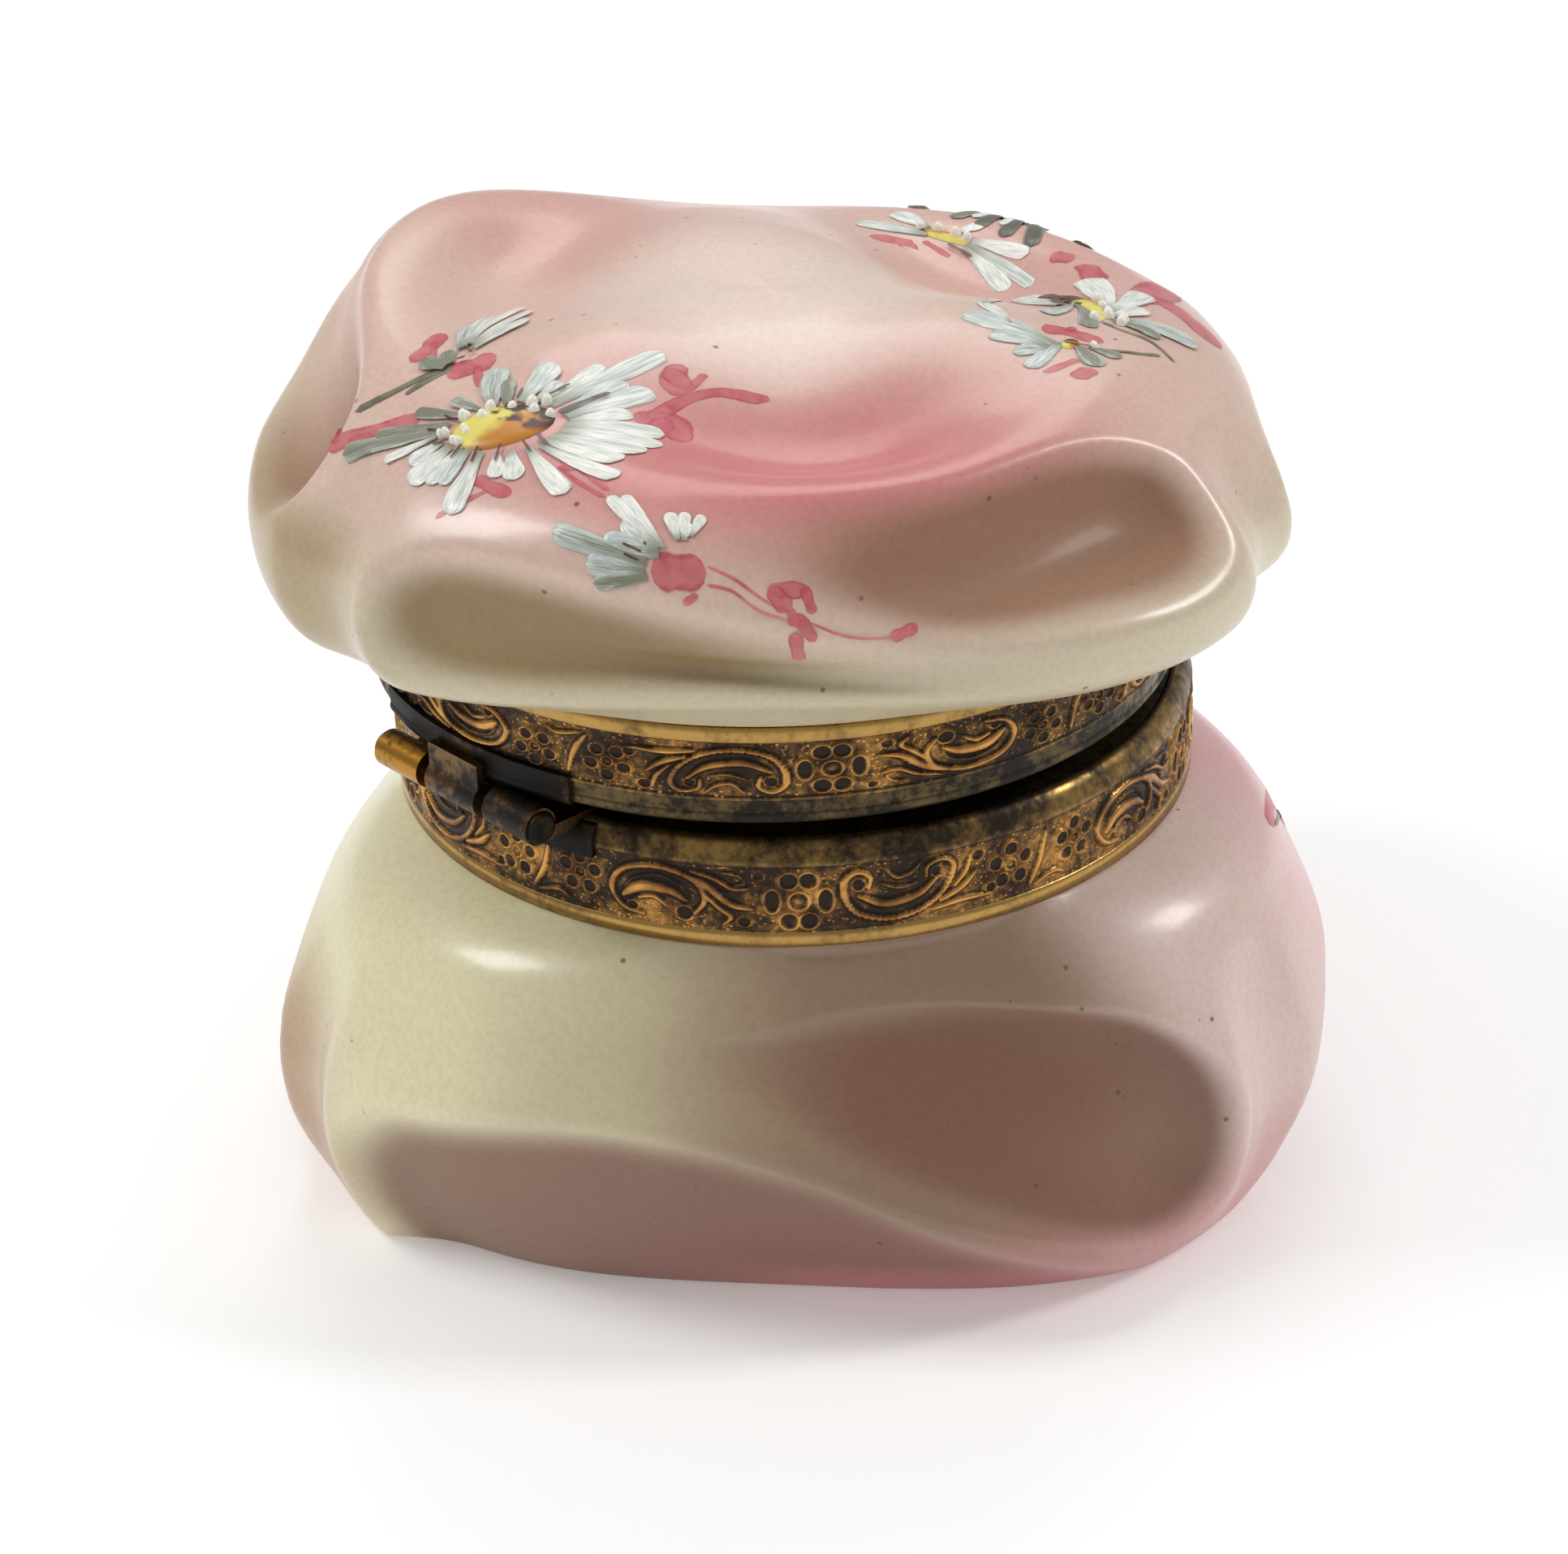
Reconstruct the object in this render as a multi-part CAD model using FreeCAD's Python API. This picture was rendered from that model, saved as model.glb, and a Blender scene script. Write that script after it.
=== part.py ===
import FreeCAD, Part
import math
import os

# Powder jar: opal glass base and hinged lid with a three-fold swirl of scoops, and brass collars.
# Millimetres and degrees. +Z is up, the origin is the middle of the foot, and the hinge is at +Y.

# ---- driving dimensions -------------------------------------------------------------------------
swirl_turn = 137.5            # turn of the swirl pattern about the axis, from +X
folds = 3                     # the swirl repeats three times round

neck_base_height = 31.5       # where the bowl's swirled body ends and its collar starts
bowl_width_scale = 1.0        # plan size of the bowl's swirled body
bowl_wall = 3.4               # glass thickness of the bowl's sides
bowl_floor = 4.0              # glass thickness of the bowl's floor

band_radius = 31.0            # outside of the lower collar's embossed band
band_height = 6.7             # height of the lower embossed band
brass = 0.5                   # thickness of the stamped brass
plaster = 1.0                 # thickness of the plaster between collar and glass neck
shoulder_height = 1.9         # plain shoulder above the lower band
shoulder_inset = 0.75         # how far the shoulder leans in up to its ridge
neck_glass_wall = 3.0         # glass thickness of both necks

register_radius = 26.8        # outside of the upstanding register neck
register_height = 4.9         # its height above the ledge
register_skirt = 4.5          # how far it reaches down inside the glass neck

rim_gap = 2.3                 # open gap between the shoulder's ridge and the lid's rim
lid_shift = 1.8               # the lid sits this far towards the hinge
rim_radius = 31.2             # outside of the lid's collar
rim_height = 2.1              # plain rim below the lid's embossed band
rim_tuck = 0.45               # how far the rim rolls in at its lower edge
lid_band_height = 5.9         # height of the lid's embossed band
flange_bore = 24.2            # opening of the lid's inner flange
lid_rest_gap = 0.05           # lid flange over the register neck when shut

lid_height = 20.6             # height of the lid's crown above its band
arm_start = 8.0               # the arms rise from this radius outwards
arm_run = 20.0                # and have their full lift this much further out
edge_run = 8.0                # lean and arm lifts fade out over this height above the lid's edge
slope_step = 0.4              # half step along the profile when its slope is measured
lid_lean = 0.07               # the lid's glass is blown a little higher on one side: rise per mm
lid_arms = [(-50.0, -0.4), (70.0, 2.2), (-165.0, -3.2), (-128.0, 3.2)]   # (azimuth, lift) of its arms
lid_width_scale = 1.0         # plan size of the lid's swirled body
lid_wall = 3.2                # glass thickness of the lid
seat_clearance = 0.2          # the lid's glass stands this far off its collar where it hangs past it

hinge_axis_y = 33.2           # hinge axis from the jar's axis
hinge_axis_drop = 1.6         # hinge axis below the lid's rim
knuckle_radius = 1.45
pin_radius = 0.7
pin_clearance = 0.05          # running clearance of the middle knuckle on the pin
outer_knuckle_length = 4.9
middle_knuckle_length = 5.6
knuckle_gap = 1.0
pin_head_length = 0.5
pin_head_radius = 1.25
leaf_thickness = 0.45
leaf_half_angle = 19.0        # half of the angle that a leaf spans on its collar
leaf_height = 2.4
knuckle_web = 1.1             # thickness of the web from an outer knuckle to its leaf
knuckle_strap = 0.7           # thickness of the strap from the middle knuckle up to its leaf
strap_share = 0.6             # part of the leaf's height that the strap covers

# ---- heights and radii worked out from them -----------------------------------------------------
band_bottom = neck_base_height
band_top = band_bottom + band_height
ridge_z = band_top + shoulder_height
ridge_radius = band_radius - shoulder_inset
ledge_z = ridge_z - 0.3
register_top = ledge_z + register_height
rim_bottom = ridge_z + rim_gap
rim_top = rim_bottom + rim_height
lid_band_top = rim_top + lid_band_height
flange_bottom = register_top + lid_rest_gap
flange_top = flange_bottom + brass
bowl_neck_radius = band_radius - brass - plaster
bowl_neck_bore = register_radius + 0.1
lid_neck_radius = rim_radius - brass - plaster
lid_neck_bore = lid_neck_radius - neck_glass_wall
hinge_axis_z = rim_bottom - hinge_axis_drop


# ---- swirl surface ------------------------------------------------------------------------------
def through(points, x):
    """Smooth curve through points (x, y): a cubic with Catmull-Rom slopes, level past its ends."""
    if x <= points[0][0]:
        return points[0][1]
    if x >= points[-1][0]:
        return points[-1][1]
    i = 0
    while x > points[i + 1][0]:
        i += 1
    x0, y0 = points[i]
    x1, y1 = points[i + 1]
    step = x1 - x0
    before = points[max(i - 1, 0)]
    after = points[min(i + 2, len(points) - 1)]
    slope0 = (y1 - before[1]) / (x1 - before[0])
    slope1 = (after[1] - y0) / (after[0] - x0)
    t = (x - x0) / step
    return (y0 * (1 + 2 * t) * (1 - t) ** 2 + y1 * t * t * (3 - 2 * t)
            + step * t * (1 - t) * (slope0 * (1 - t) - slope1 * t))


def wrapped(azimuth):
    """Azimuth within one fold of the swirl, from -60 to 60 degrees for three folds."""
    fold = 360.0 / folds
    return (azimuth + fold / 2) % fold - fold / 2


def scoop_depth(scoop, azimuth, along):
    """Depth of one scoop: deepest along its centre line, none at its edges, and rounded at its head."""
    fold = 360.0 / folds
    depth = 0.0
    for turn in (-1, 0, 1):
        a = wrapped(azimuth) + turn * fold
        share = (a - scoop["tail"]) / (scoop["head"] - scoop["tail"])
        if share <= 0 or share >= 1:
            continue
        near_head = max(0.0, (share - scoop["round_from"]) / (1 - scoop["round_from"]))
        half = through(scoop["half_width"], a) * (1 - near_head ** 2.6) ** (1 / 2.6)
        across = (along - through(scoop["centre"], a)) / max(half, 1e-6)
        if abs(across) >= 1:
            continue
        edge = scoop["edge"][1] if across > 0 else scoop["edge"][0]
        floor = through(scoop["depth"], a) * (1 - near_head ** 4)
        depth += floor * (1 - abs(across) ** scoop["flatness"]) ** edge
    return depth


def flute_depth(flute, azimuth, along):
    """Depth of the shallow upright flute between two corner ridges."""
    across = wrapped(azimuth - flute["azimuth"]) / flute["half"]
    upward = (along - flute["middle"]) / flute["reach"]
    if abs(across) >= 1 or abs(upward) >= 1:
        return 0.0
    return flute["depth"] * (1 - across ** 2) ** 1.5 * (1 - upward ** 2)


def swell_at(body, azimuth, along):
    """How far the three corners stand out from the mean profile, or the sides between them lie in."""
    corner = through(body["corner"], along)
    return through(body["swell"], along) * math.cos(math.radians(folds * (azimuth - corner)))


def hollows(body, azimuth, along):
    """Depth of all that is cut into the swirl at one place."""
    scoops = sum(scoop_depth(scoop, azimuth, along) for scoop in body["scoops"])
    return scoops + flute_depth(body["flute"], azimuth, along)


# Points are (height, radius) for the bowl's profile and (along, radius, height) for the lid's, where
# along is the distance from the lid's lower edge to its crown over the glass.
bowl_swirl = {
    "profile": [(0, 36.6), (2, 38.2), (5, 39.9), (9, 41.3), (13, 41.7), (17, 41.0), (21, 39.2),
                (25, 36.9), (28, 34.9), (30, 33.0), (31.5, 30.9)],
    "swell": [(0, 2.3), (5, 2.2), (12, 2.3), (20, 2.5), (25, 2.7), (28.5, 2.9), (30.5, 1.9),
              (31.5, 0)],
    "corner": [(0, -60), (13, -60), (18, -58), (23, -54), (27.6, -50), (29.4, -48), (31.5, -46)],
    "scoops": [
        {"head": -57, "tail": 44, "round_from": 0.86, "edge": (1.0, 0.8), "flatness": 3.0,
         "centre": [(-57, 2.0), (-40, 0.0), (0, -2), (44, -2)],
         "half_width": [(-57, 13), (-45, 17.0), (-22, 20.5), (0, 18.0), (16, 12.2), (30, 6.8), (44, 2)],
         "depth": [(-57, 2.6), (-48, 4.0), (-25, 5.4), (-5, 5.2), (15, 3.8), (30, 2.0), (44, 0)]},
        {"head": 50, "tail": -16, "round_from": 0.78, "edge": (1.3, 0.8), "flatness": 3.0,
         "centre": [(-16, 25), (-4, 23), (6, 21), (21, 18.2), (37, 14.6), (51, 11.5)],
         "half_width": [(-16, 0.6), (-4, 3.2), (6, 5.8), (21, 8.2), (37, 9.8), (51, 10.4)],
         "depth": [(-16, 0), (-4, 0.9), (6, 1.9), (21, 3.4), (37, 4.5), (51, 4.0)]}],
    "flute": {"azimuth": 57, "half": 7, "depth": 1.9, "middle": 13, "reach": 12},
}

lid_swirl = {
    "profile": [(0, 30.6, 0), (4, 34.3, 0.9), (8, 37.4, 3.0), (11, 38.3, 5.4), (14, 38.3, 8.0),
                (18, 36.9, 11.6), (23, 33.9, 15.6), (29, 28.6, 18.0), (36, 21.0, 17.7),
                (44, 13.4, 19.6), (51, 6.4, 20.4), (57.4, 0, 20.6)],
    "swell": [(0, 0), (1, 0), (4, 1.6), (8, 2.4), (12, 2.6), (18, 0.8), (24, -0.4), (30, 0.2), (36, 2.3),
              (43, 1.5), (50, 0.3), (57.4, 0)],
    "corner": [(4, -62), (14, -57), (20, -52), (40, -52)],
    "scoops": [
        {"head": -46.5, "tail": 34, "round_from": 0.84, "edge": (1.6, 0.8), "flatness": 2.4,
         "centre": [(-47, 12.3), (-30, 12.7), (-10, 12.0), (10, 11.2), (34, 11.0)],
         "half_width": [(-47, 5.2), (-30, 6.6), (-10, 6.4), (10, 5.0), (34, 4.0)],
         "depth": [(-47, 2.6), (-30, 3.0), (-10, 2.3), (10, 1.0), (34, 0)]},
        {"head": 57.5, "tail": -14, "round_from": 0.78, "edge": (1.4, 0.8), "flatness": 2.2,
         "centre": [(-14, 24.0), (0, 22.6), (20, 20.8), (40, 20.2), (58, 18.0)],
         "half_width": [(-14, 3.0), (0, 4.6), (20, 6.4), (40, 7.0), (58, 6.6)],
         "depth": [(-14, 0), (0, 0.8), (20, 3.0), (40, 4.0), (58, 3.8)]}],
    "flute": {"azimuth": -54, "half": 8, "depth": 1.9, "middle": 13, "reach": 9},
}


def bowl_point(azimuth, height, inset):
    """Point of the bowl's outside, or of a surface inset from it, at a height above the foot."""
    radius = through(bowl_swirl["profile"], height) + swell_at(bowl_swirl, azimuth, height)
    radius = (radius - hollows(bowl_swirl, azimuth, height)) * bowl_width_scale - inset
    turn = math.radians(azimuth + swirl_turn)
    return FreeCAD.Vector(radius * math.cos(turn), radius * math.sin(turn), height)


def lid_point(azimuth, along, inset):
    """Point of the lid's outside, or of a surface inset from it, at a distance along its profile."""
    radius_curve = [(p[0], p[1]) for p in lid_swirl["profile"]]
    height_curve = [(p[0], p[2]) for p in lid_swirl["profile"]]
    radius = through(radius_curve, along)
    height = through(height_curve, along)
    run = through(radius_curve, along + slope_step) - through(radius_curve, along - slope_step)
    rise = through(height_curve, along + slope_step) - through(height_curve, along - slope_step)
    length = math.hypot(run, rise)
    push = swell_at(lid_swirl, azimuth, along) - hollows(lid_swirl, azimuth, along) - inset
    radius += push * rise / length
    height -= push * run / length
    angle = math.radians(azimuth)
    above_edge = min(1.0, max(0.0, height / edge_run))
    out = min(1.0, max(0.0, (radius - arm_start) / arm_run))
    height -= above_edge * lid_lean * radius * math.sin(angle)
    for middle, lift in lid_arms:
        height += above_edge * out * lift * max(0.0, math.cos(angle - math.radians(middle))) ** 4
    turn = math.radians(azimuth + swirl_turn)
    radius *= lid_width_scale
    height *= lid_height / height_curve[-1][1]
    return FreeCAD.Vector(radius * math.cos(turn), lid_shift + radius * math.sin(turn),
                          lid_band_top + height)


def skin(rings):
    """Smooth face through rings of points: closed round the axis, open at its first and last ring."""
    columns = len(rings[0])
    poles = [[ring[i] for ring in rings] for i in range(columns)]
    surface = Part.BSplineSurface()
    round_knots = [float(i) for i in range(columns + 1)]
    up_knots = [float(i) for i in range(len(rings) - 2)]
    up_mults = [4] + [1] * (len(rings) - 4) + [4]
    surface.buildFromPolesMultsKnots(poles, [1] * (columns + 1), up_mults, round_knots, up_knots,
                                     True, False, 3, 3)
    return surface.toShape()


def levelled(ring):
    """The ring with all its points at their mean height, so that a flat cap closes it."""
    height = sum(point.z for point in ring) / len(ring)
    return [FreeCAD.Vector(point.x, point.y, height) for point in ring]


def skinned_solid(rings):
    """Closed solid: the skin through the rings, and a flat cap on its first and last ring."""
    rings = [levelled(rings[0])] + rings[1:-1] + [levelled(rings[-1])]
    side = skin(rings)
    bottom = min(side.Edges, key=lambda edge: abs(edge.BoundBox.ZMax - rings[0][0].z)
                 + abs(edge.BoundBox.ZMin - rings[0][0].z))
    top = min(side.Edges, key=lambda edge: abs(edge.BoundBox.ZMax - rings[-1][0].z)
              + abs(edge.BoundBox.ZMin - rings[-1][0].z))
    caps = [Part.Face(Part.Wire([bottom])), Part.Face(Part.Wire([top]))]
    shell = Part.makeShell([side] + caps)
    shell.sewShape()              # joins each cap to the skin along their common edge
    solid = Part.makeSolid(shell)
    if solid.Volume < 0:
        solid.reverse()
    return solid


columns = 120                 # points round each ring of the swirled glass
azimuths = [360.0 * i / columns for i in range(columns)]


def circle_ring(radius, height, middle_y):
    turns = [math.radians(a + swirl_turn) for a in azimuths]
    return [FreeCAD.Vector(radius * math.cos(t), middle_y + radius * math.sin(t), height) for t in turns]


# ---- helpers for turned and bent brass ----------------------------------------------------------
def outline(start, *steps):
    """Closed wire in the XZ plane: a step (r, z) is a line, and (r, z, r, z) an arc through a point."""
    here = FreeCAD.Vector(start[0], 0, start[1])
    first = here
    edges = []
    for step in steps:
        end = FreeCAD.Vector(step[-2], 0, step[-1])
        if len(step) == 4:
            through_point = FreeCAD.Vector(step[0], 0, step[1])
            edges.append(Part.Arc(here, through_point, end).toShape())
        else:
            edges.append(Part.LineSegment(here, end).toShape())
        here = end
    edges.append(Part.LineSegment(here, first).toShape())
    return Part.Wire(edges)


def turned(wire, middle_y, angle=360.0):
    """Solid of revolution about the vertical axis at middle_y, centred on +Y when it isn't whole."""
    shape = Part.Face(wire).revolve(FreeCAD.Vector(0, 0, 0), FreeCAD.Vector(0, 0, 1), angle)
    if angle < 360.0:
        shape.rotate(FreeCAD.Vector(0, 0, 0), FreeCAD.Vector(0, 0, 1), 90 - angle / 2)
    shape.translate(FreeCAD.Vector(0, middle_y, 0))
    return shape


def rod(radius, x0, x1):
    """Round bar along the hinge axis."""
    return Part.makeCylinder(radius, x1 - x0, FreeCAD.Vector(x0, hinge_axis_y, hinge_axis_z),
                             FreeCAD.Vector(1, 0, 0))


def block(x0, y0, z0, x1, y1, z1):
    return Part.makeBox(x1 - x0, y1 - y0, z1 - z0, FreeCAD.Vector(x0, y0, z0))


# ---- glass --------------------------------------------------------------------------------------
foot_round = 0.9              # rounding of the foot's edge
body_rows = 30                # rings from the foot to the collar


def bowl_outside():
    rings = [[bowl_point(a, 0.0, foot_round) for a in azimuths],
             [bowl_point(a, 0.0, foot_round * 0.45) for a in azimuths],
             [bowl_point(a, foot_round * 0.4, foot_round * 0.08) for a in azimuths]]
    low = foot_round * 1.1
    for i in range(body_rows):
        height = low + (neck_base_height - low) * i / (body_rows - 1)
        rings.append([bowl_point(a, height, 0.0) for a in azimuths])
    for point in rings[1]:
        point.z = 0.0
    return skinned_solid(rings)


def bowl_inside():
    rings = []
    for share, lift in ((0.45, 0.0), (0.62, 0.0), (0.78, 0.15), (0.90, 0.8), (0.97, 2.2)):
        ring = [bowl_point(a, bowl_floor + lift, bowl_wall) for a in azimuths]
        rings.append([FreeCAD.Vector(p.x * share, p.y * share, p.z) for p in ring])
    low = bowl_floor + 4.2
    high = neck_base_height - 2.4
    rows = body_rows - 10
    for i in range(rows):
        height = low + (high - low) * i / (rows - 1)
        rings.append([bowl_point(a, height, bowl_wall) for a in azimuths])
    rings.append(circle_ring(bowl_neck_bore + 0.3, neck_base_height - 1.3, 0.0))
    rings.append(circle_ring(bowl_neck_bore - 0.9, neck_base_height - 0.6, 0.0))
    return skinned_solid(rings)


def base_bowl():
    neck_top = ledge_z - brass - plaster / 2
    neck = Part.makeCylinder(bowl_neck_radius, neck_top - neck_base_height,
                             FreeCAD.Vector(0, 0, neck_base_height))
    bore = Part.makeCylinder(bowl_neck_bore, neck_top - neck_base_height + 4,
                             FreeCAD.Vector(0, 0, neck_base_height - 3))
    return bowl_outside().fuse(neck).cut(bowl_inside()).cut(bore)


def lid_outside():
    length = lid_swirl["profile"][-1][0]
    rings = []
    rows = 40
    for i in range(rows):
        along = (length - 1.5) * i / (rows - 1)
        rings.append([lid_point(a, along, 0.0) for a in azimuths])
    return skinned_solid(rings)


def lid_inside():
    length = lid_swirl["profile"][-1][0]
    rings = [circle_ring(lid_neck_bore - 0.9, lid_band_top + 1.4, lid_shift),
             circle_ring(lid_neck_bore + 0.4, lid_band_top + 2.2, lid_shift),
             circle_ring(lid_neck_bore + 3.2, lid_band_top + 3.5, lid_shift)]
    rows = 26
    start = 6.0
    for i in range(rows):
        along = start + (length - 3.0 - start) * i / (rows - 1)
        rings.append([lid_point(a, along, lid_wall) for a in azimuths])
    return skinned_solid(rings)


def lid_seat():
    """The room that the lid's collar takes under the glass."""
    depth = rim_height + lid_band_height
    low = FreeCAD.Vector(0, lid_shift, lid_band_top - depth)
    return Part.makeCylinder(rim_radius + seat_clearance, depth, low)


def lid_dome():
    neck_bottom = flange_top + plaster / 2
    middle = FreeCAD.Vector(0, lid_shift, neck_bottom)
    neck = Part.makeCylinder(lid_neck_radius, lid_band_top - neck_bottom, middle)
    bore = Part.makeCylinder(lid_neck_bore, lid_band_top + 4 - neck_bottom, middle)
    return lid_outside().cut(lid_seat()).fuse(neck).cut(lid_inside()).cut(bore)


# ---- lower collar -------------------------------------------------------------------------------
border = 1.2                  # height of the plain border strip at the glass
border_lift = 0.12            # how far the border stands proud of the band
ridge_lip = 0.75              # width of the rolled ridge above the ledge


def shoulder_arc(grown):
    """The shoulder's outside, grown by a thickness: an arc from the band's top in to the ridge."""
    middle_r = band_radius - shoulder_inset * 0.32 + grown
    middle_z = band_top + shoulder_height * 0.55
    return (middle_r, middle_z, ridge_radius + grown, ridge_z - 0.2)


def base_collar_band():
    inner = band_radius - brass
    steps = [(band_radius + border_lift, band_bottom + border),
             (band_radius, band_bottom + border + border_lift),
             (band_radius, band_top),
             shoulder_arc(0.0)]
    steps += [(ridge_radius - 0.12, ridge_z - 0.04, ridge_radius - 0.35, ridge_z),
              (ridge_radius - ridge_lip, ledge_z + 0.06),
              (ridge_radius - ridge_lip, ledge_z),
              (ridge_radius - brass - 0.3, ledge_z),
              (ridge_radius - brass, ridge_z - 0.7),
              (inner, band_top - 0.3),
              (inner, band_bottom)]
    return turned(outline((band_radius + border_lift, band_bottom), *steps), 0.0)


def base_register_neck():
    inner = register_radius - brass
    flange_radius = ridge_radius - brass - 0.35
    wire = outline((inner, ledge_z - brass - register_skirt),
                   (register_radius, ledge_z - brass - register_skirt),
                   (register_radius, ledge_z - brass),
                   (flange_radius, ledge_z - brass),
                   (flange_radius, ledge_z),
                   (register_radius + 0.3, ledge_z),
                   (register_radius + 0.09, ledge_z + 0.09, register_radius, ledge_z + 0.3),
                   (register_radius, register_top - brass / 2),
                   (register_radius - brass / 2, register_top, inner, register_top - brass / 2))
    return turned(wire, 0.0)


def base_plaster_bed():
    neck_top = ledge_z - brass - plaster / 2
    under_flange = ledge_z - brass
    outer = band_radius - brass
    wire = outline((bowl_neck_radius, band_bottom + 0.3),
                   (outer, band_bottom + 0.3),
                   (outer, band_top - 0.3),
                   (ridge_radius - brass - 0.35, under_flange),
                   (bowl_neck_bore, under_flange),
                   (bowl_neck_bore, neck_top),
                   (bowl_neck_radius, neck_top))
    return turned(wire, 0.0)


# ---- lid collar ---------------------------------------------------------------------------------
def lid_rim_ring():
    low_r = rim_radius - rim_tuck
    wall_in = rim_radius - 2 * brass
    wire = outline((wall_in - 0.3, rim_bottom + 0.3),
                   (wall_in - 0.1, rim_bottom + 0.05, wall_in + 0.2, rim_bottom),
                   (low_r - 0.2, rim_bottom),
                   (low_r, rim_bottom + 0.06, rim_radius - 0.1, rim_bottom + rim_height * 0.5),
                   (rim_radius, rim_top),
                   (rim_radius - brass, rim_top),
                   (rim_radius - brass, rim_top + border),
                   (wall_in, rim_top + border),
                   (wall_in, flange_top),
                   (flange_bore, flange_top),
                   (flange_bore, flange_bottom),
                   (wall_in - 0.3, flange_bottom))
    return turned(wire, lid_shift)


def lid_collar_band():
    inner = rim_radius - brass
    wire = outline((inner, rim_top),
                   (rim_radius, rim_top),
                   (rim_radius, lid_band_top - border - border_lift),
                   (rim_radius + border_lift, lid_band_top - border),
                   (rim_radius + border_lift, lid_band_top),
                   (inner, lid_band_top))
    return turned(wire, lid_shift)


def lid_plaster_bed():
    wall_in = rim_radius - 2 * brass
    band_in = rim_radius - brass
    neck_bottom = flange_top + plaster / 2
    wire = outline((lid_neck_bore, flange_top),
                   (wall_in, flange_top),
                   (wall_in, rim_top + border),
                   (band_in, rim_top + border),
                   (band_in, lid_band_top - 0.3),
                   (lid_neck_radius, lid_band_top - 0.3),
                   (lid_neck_radius, neck_bottom),
                   (lid_neck_bore, neck_bottom))
    return turned(wire, lid_shift)


# ---- hinge --------------------------------------------------------------------------------------
def base_collar_block(grown):
    """The lower collar's outside filled to the axis, grown by a thickness where a leaf covers it."""
    steps = [(band_radius + grown, band_bottom + border + 1),
             (band_radius + grown, band_top),
             shoulder_arc(grown),
             (ridge_radius + grown - 0.35, ridge_z),
             (0, ridge_z)]
    return turned(outline((0, band_bottom + border + 1), *steps), 0.0)


def lid_collar_block(grown):
    """The lid collar's outside filled to its axis, grown by a thickness where a leaf covers it."""
    low_r = rim_radius - rim_tuck + grown
    steps = [(low_r - 0.2, rim_bottom),
             (low_r, rim_bottom + 0.06, rim_radius + grown - 0.1, rim_bottom + rim_height * 0.5),
             (rim_radius + grown, rim_top),
             (rim_radius + grown, rim_top + leaf_height),
             (0, rim_top + leaf_height)]
    return turned(outline((0, rim_bottom), *steps), lid_shift)


def leaf_sector(z0, z1, middle_y):
    wire = outline((band_radius - 3, z0), (band_radius + 3, z0), (band_radius + 3, z1), (band_radius - 3, z1))
    return turned(wire, middle_y, 2 * leaf_half_angle)


def base_hinge_leaf():
    grown = base_collar_block(leaf_thickness).cut(base_collar_block(0.0))
    top = ridge_z - 0.3
    return grown.common(leaf_sector(top - leaf_height, top, 0.0))


def lid_hinge_leaf():
    grown = lid_collar_block(leaf_thickness).cut(lid_collar_block(0.0))
    low = rim_bottom + 0.15
    return grown.common(leaf_sector(low, low + leaf_height, lid_shift))


def base_knuckle(x0, x1):
    low = hinge_axis_z - knuckle_radius
    web = block(x0, band_radius - 3, low, x1, hinge_axis_y, low + knuckle_web)
    web = web.cut(base_collar_block(leaf_thickness))
    web = max(web.Solids, key=lambda solid: solid.BoundBox.YMax)
    return rod(knuckle_radius, x0, x1).fuse(web).cut(rod(pin_radius, x0 - 1, x1 + 1)).removeSplitter()


def lid_knuckle_middle():
    half = middle_knuckle_length / 2
    top = rim_bottom + leaf_height * strap_share
    inner_y = lid_shift + rim_radius + leaf_thickness - 0.05
    web = block(-half, inner_y, hinge_axis_z, half, inner_y + knuckle_strap, top)
    web = web.cut(lid_collar_block(leaf_thickness))
    bore = rod(pin_radius + pin_clearance, -half - 1, half + 1)
    return rod(knuckle_radius, -half, half).fuse(web).cut(bore).removeSplitter()


def hinge_pin():
    half = middle_knuckle_length / 2 + knuckle_gap + outer_knuckle_length
    pin = rod(pin_radius, -half, half)
    heads = [rod(pin_head_radius, -half - pin_head_length, -half),
             rod(pin_head_radius, half, half + pin_head_length)]
    rounded = []
    for head, end in zip(heads, (-half - pin_head_length, half + pin_head_length)):
        rim = [edge for edge in head.Edges if abs(edge.CenterOfMass.x - end) < 1e-6
               and len(edge.Vertexes) == 1]
        rounded.append(head.makeFillet(pin_head_length * 0.8, rim))
    return pin.fuse(rounded).removeSplitter()


# ---- build --------------------------------------------------------------------------------------
knuckle_start = middle_knuckle_length / 2 + knuckle_gap
knuckle_end = knuckle_start + outer_knuckle_length
nodes = {
    "base_bowl": base_bowl(),
    "base_plaster_bed": base_plaster_bed(),
    "base_collar_band": base_collar_band(),
    "base_register_neck": base_register_neck(),
    "base_hinge_leaf": base_hinge_leaf(),
    "base_knuckle_left": base_knuckle(knuckle_start, knuckle_end),
    "base_knuckle_right": base_knuckle(-knuckle_end, -knuckle_start),
    "hinge_pin": hinge_pin(),
    "lid_dome": lid_dome(),
    "lid_plaster_bed": lid_plaster_bed(),
    "lid_collar_band": lid_collar_band(),
    "lid_rim_ring": lid_rim_ring(),
    "lid_hinge_leaf": lid_hinge_leaf(),
    "lid_knuckle_middle": lid_knuckle_middle(),
}

os.makedirs("parts", exist_ok=True)
for name, shape in nodes.items():
    shape.exportStep("parts/" + name + ".step")
    print(name, "solids", len(shape.Solids), "valid", shape.isValid(), "volume", round(shape.Volume, 2))
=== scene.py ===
import bpy
import math
from functools import partial
import numpy as np
from mathutils import Matrix, Vector


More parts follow.
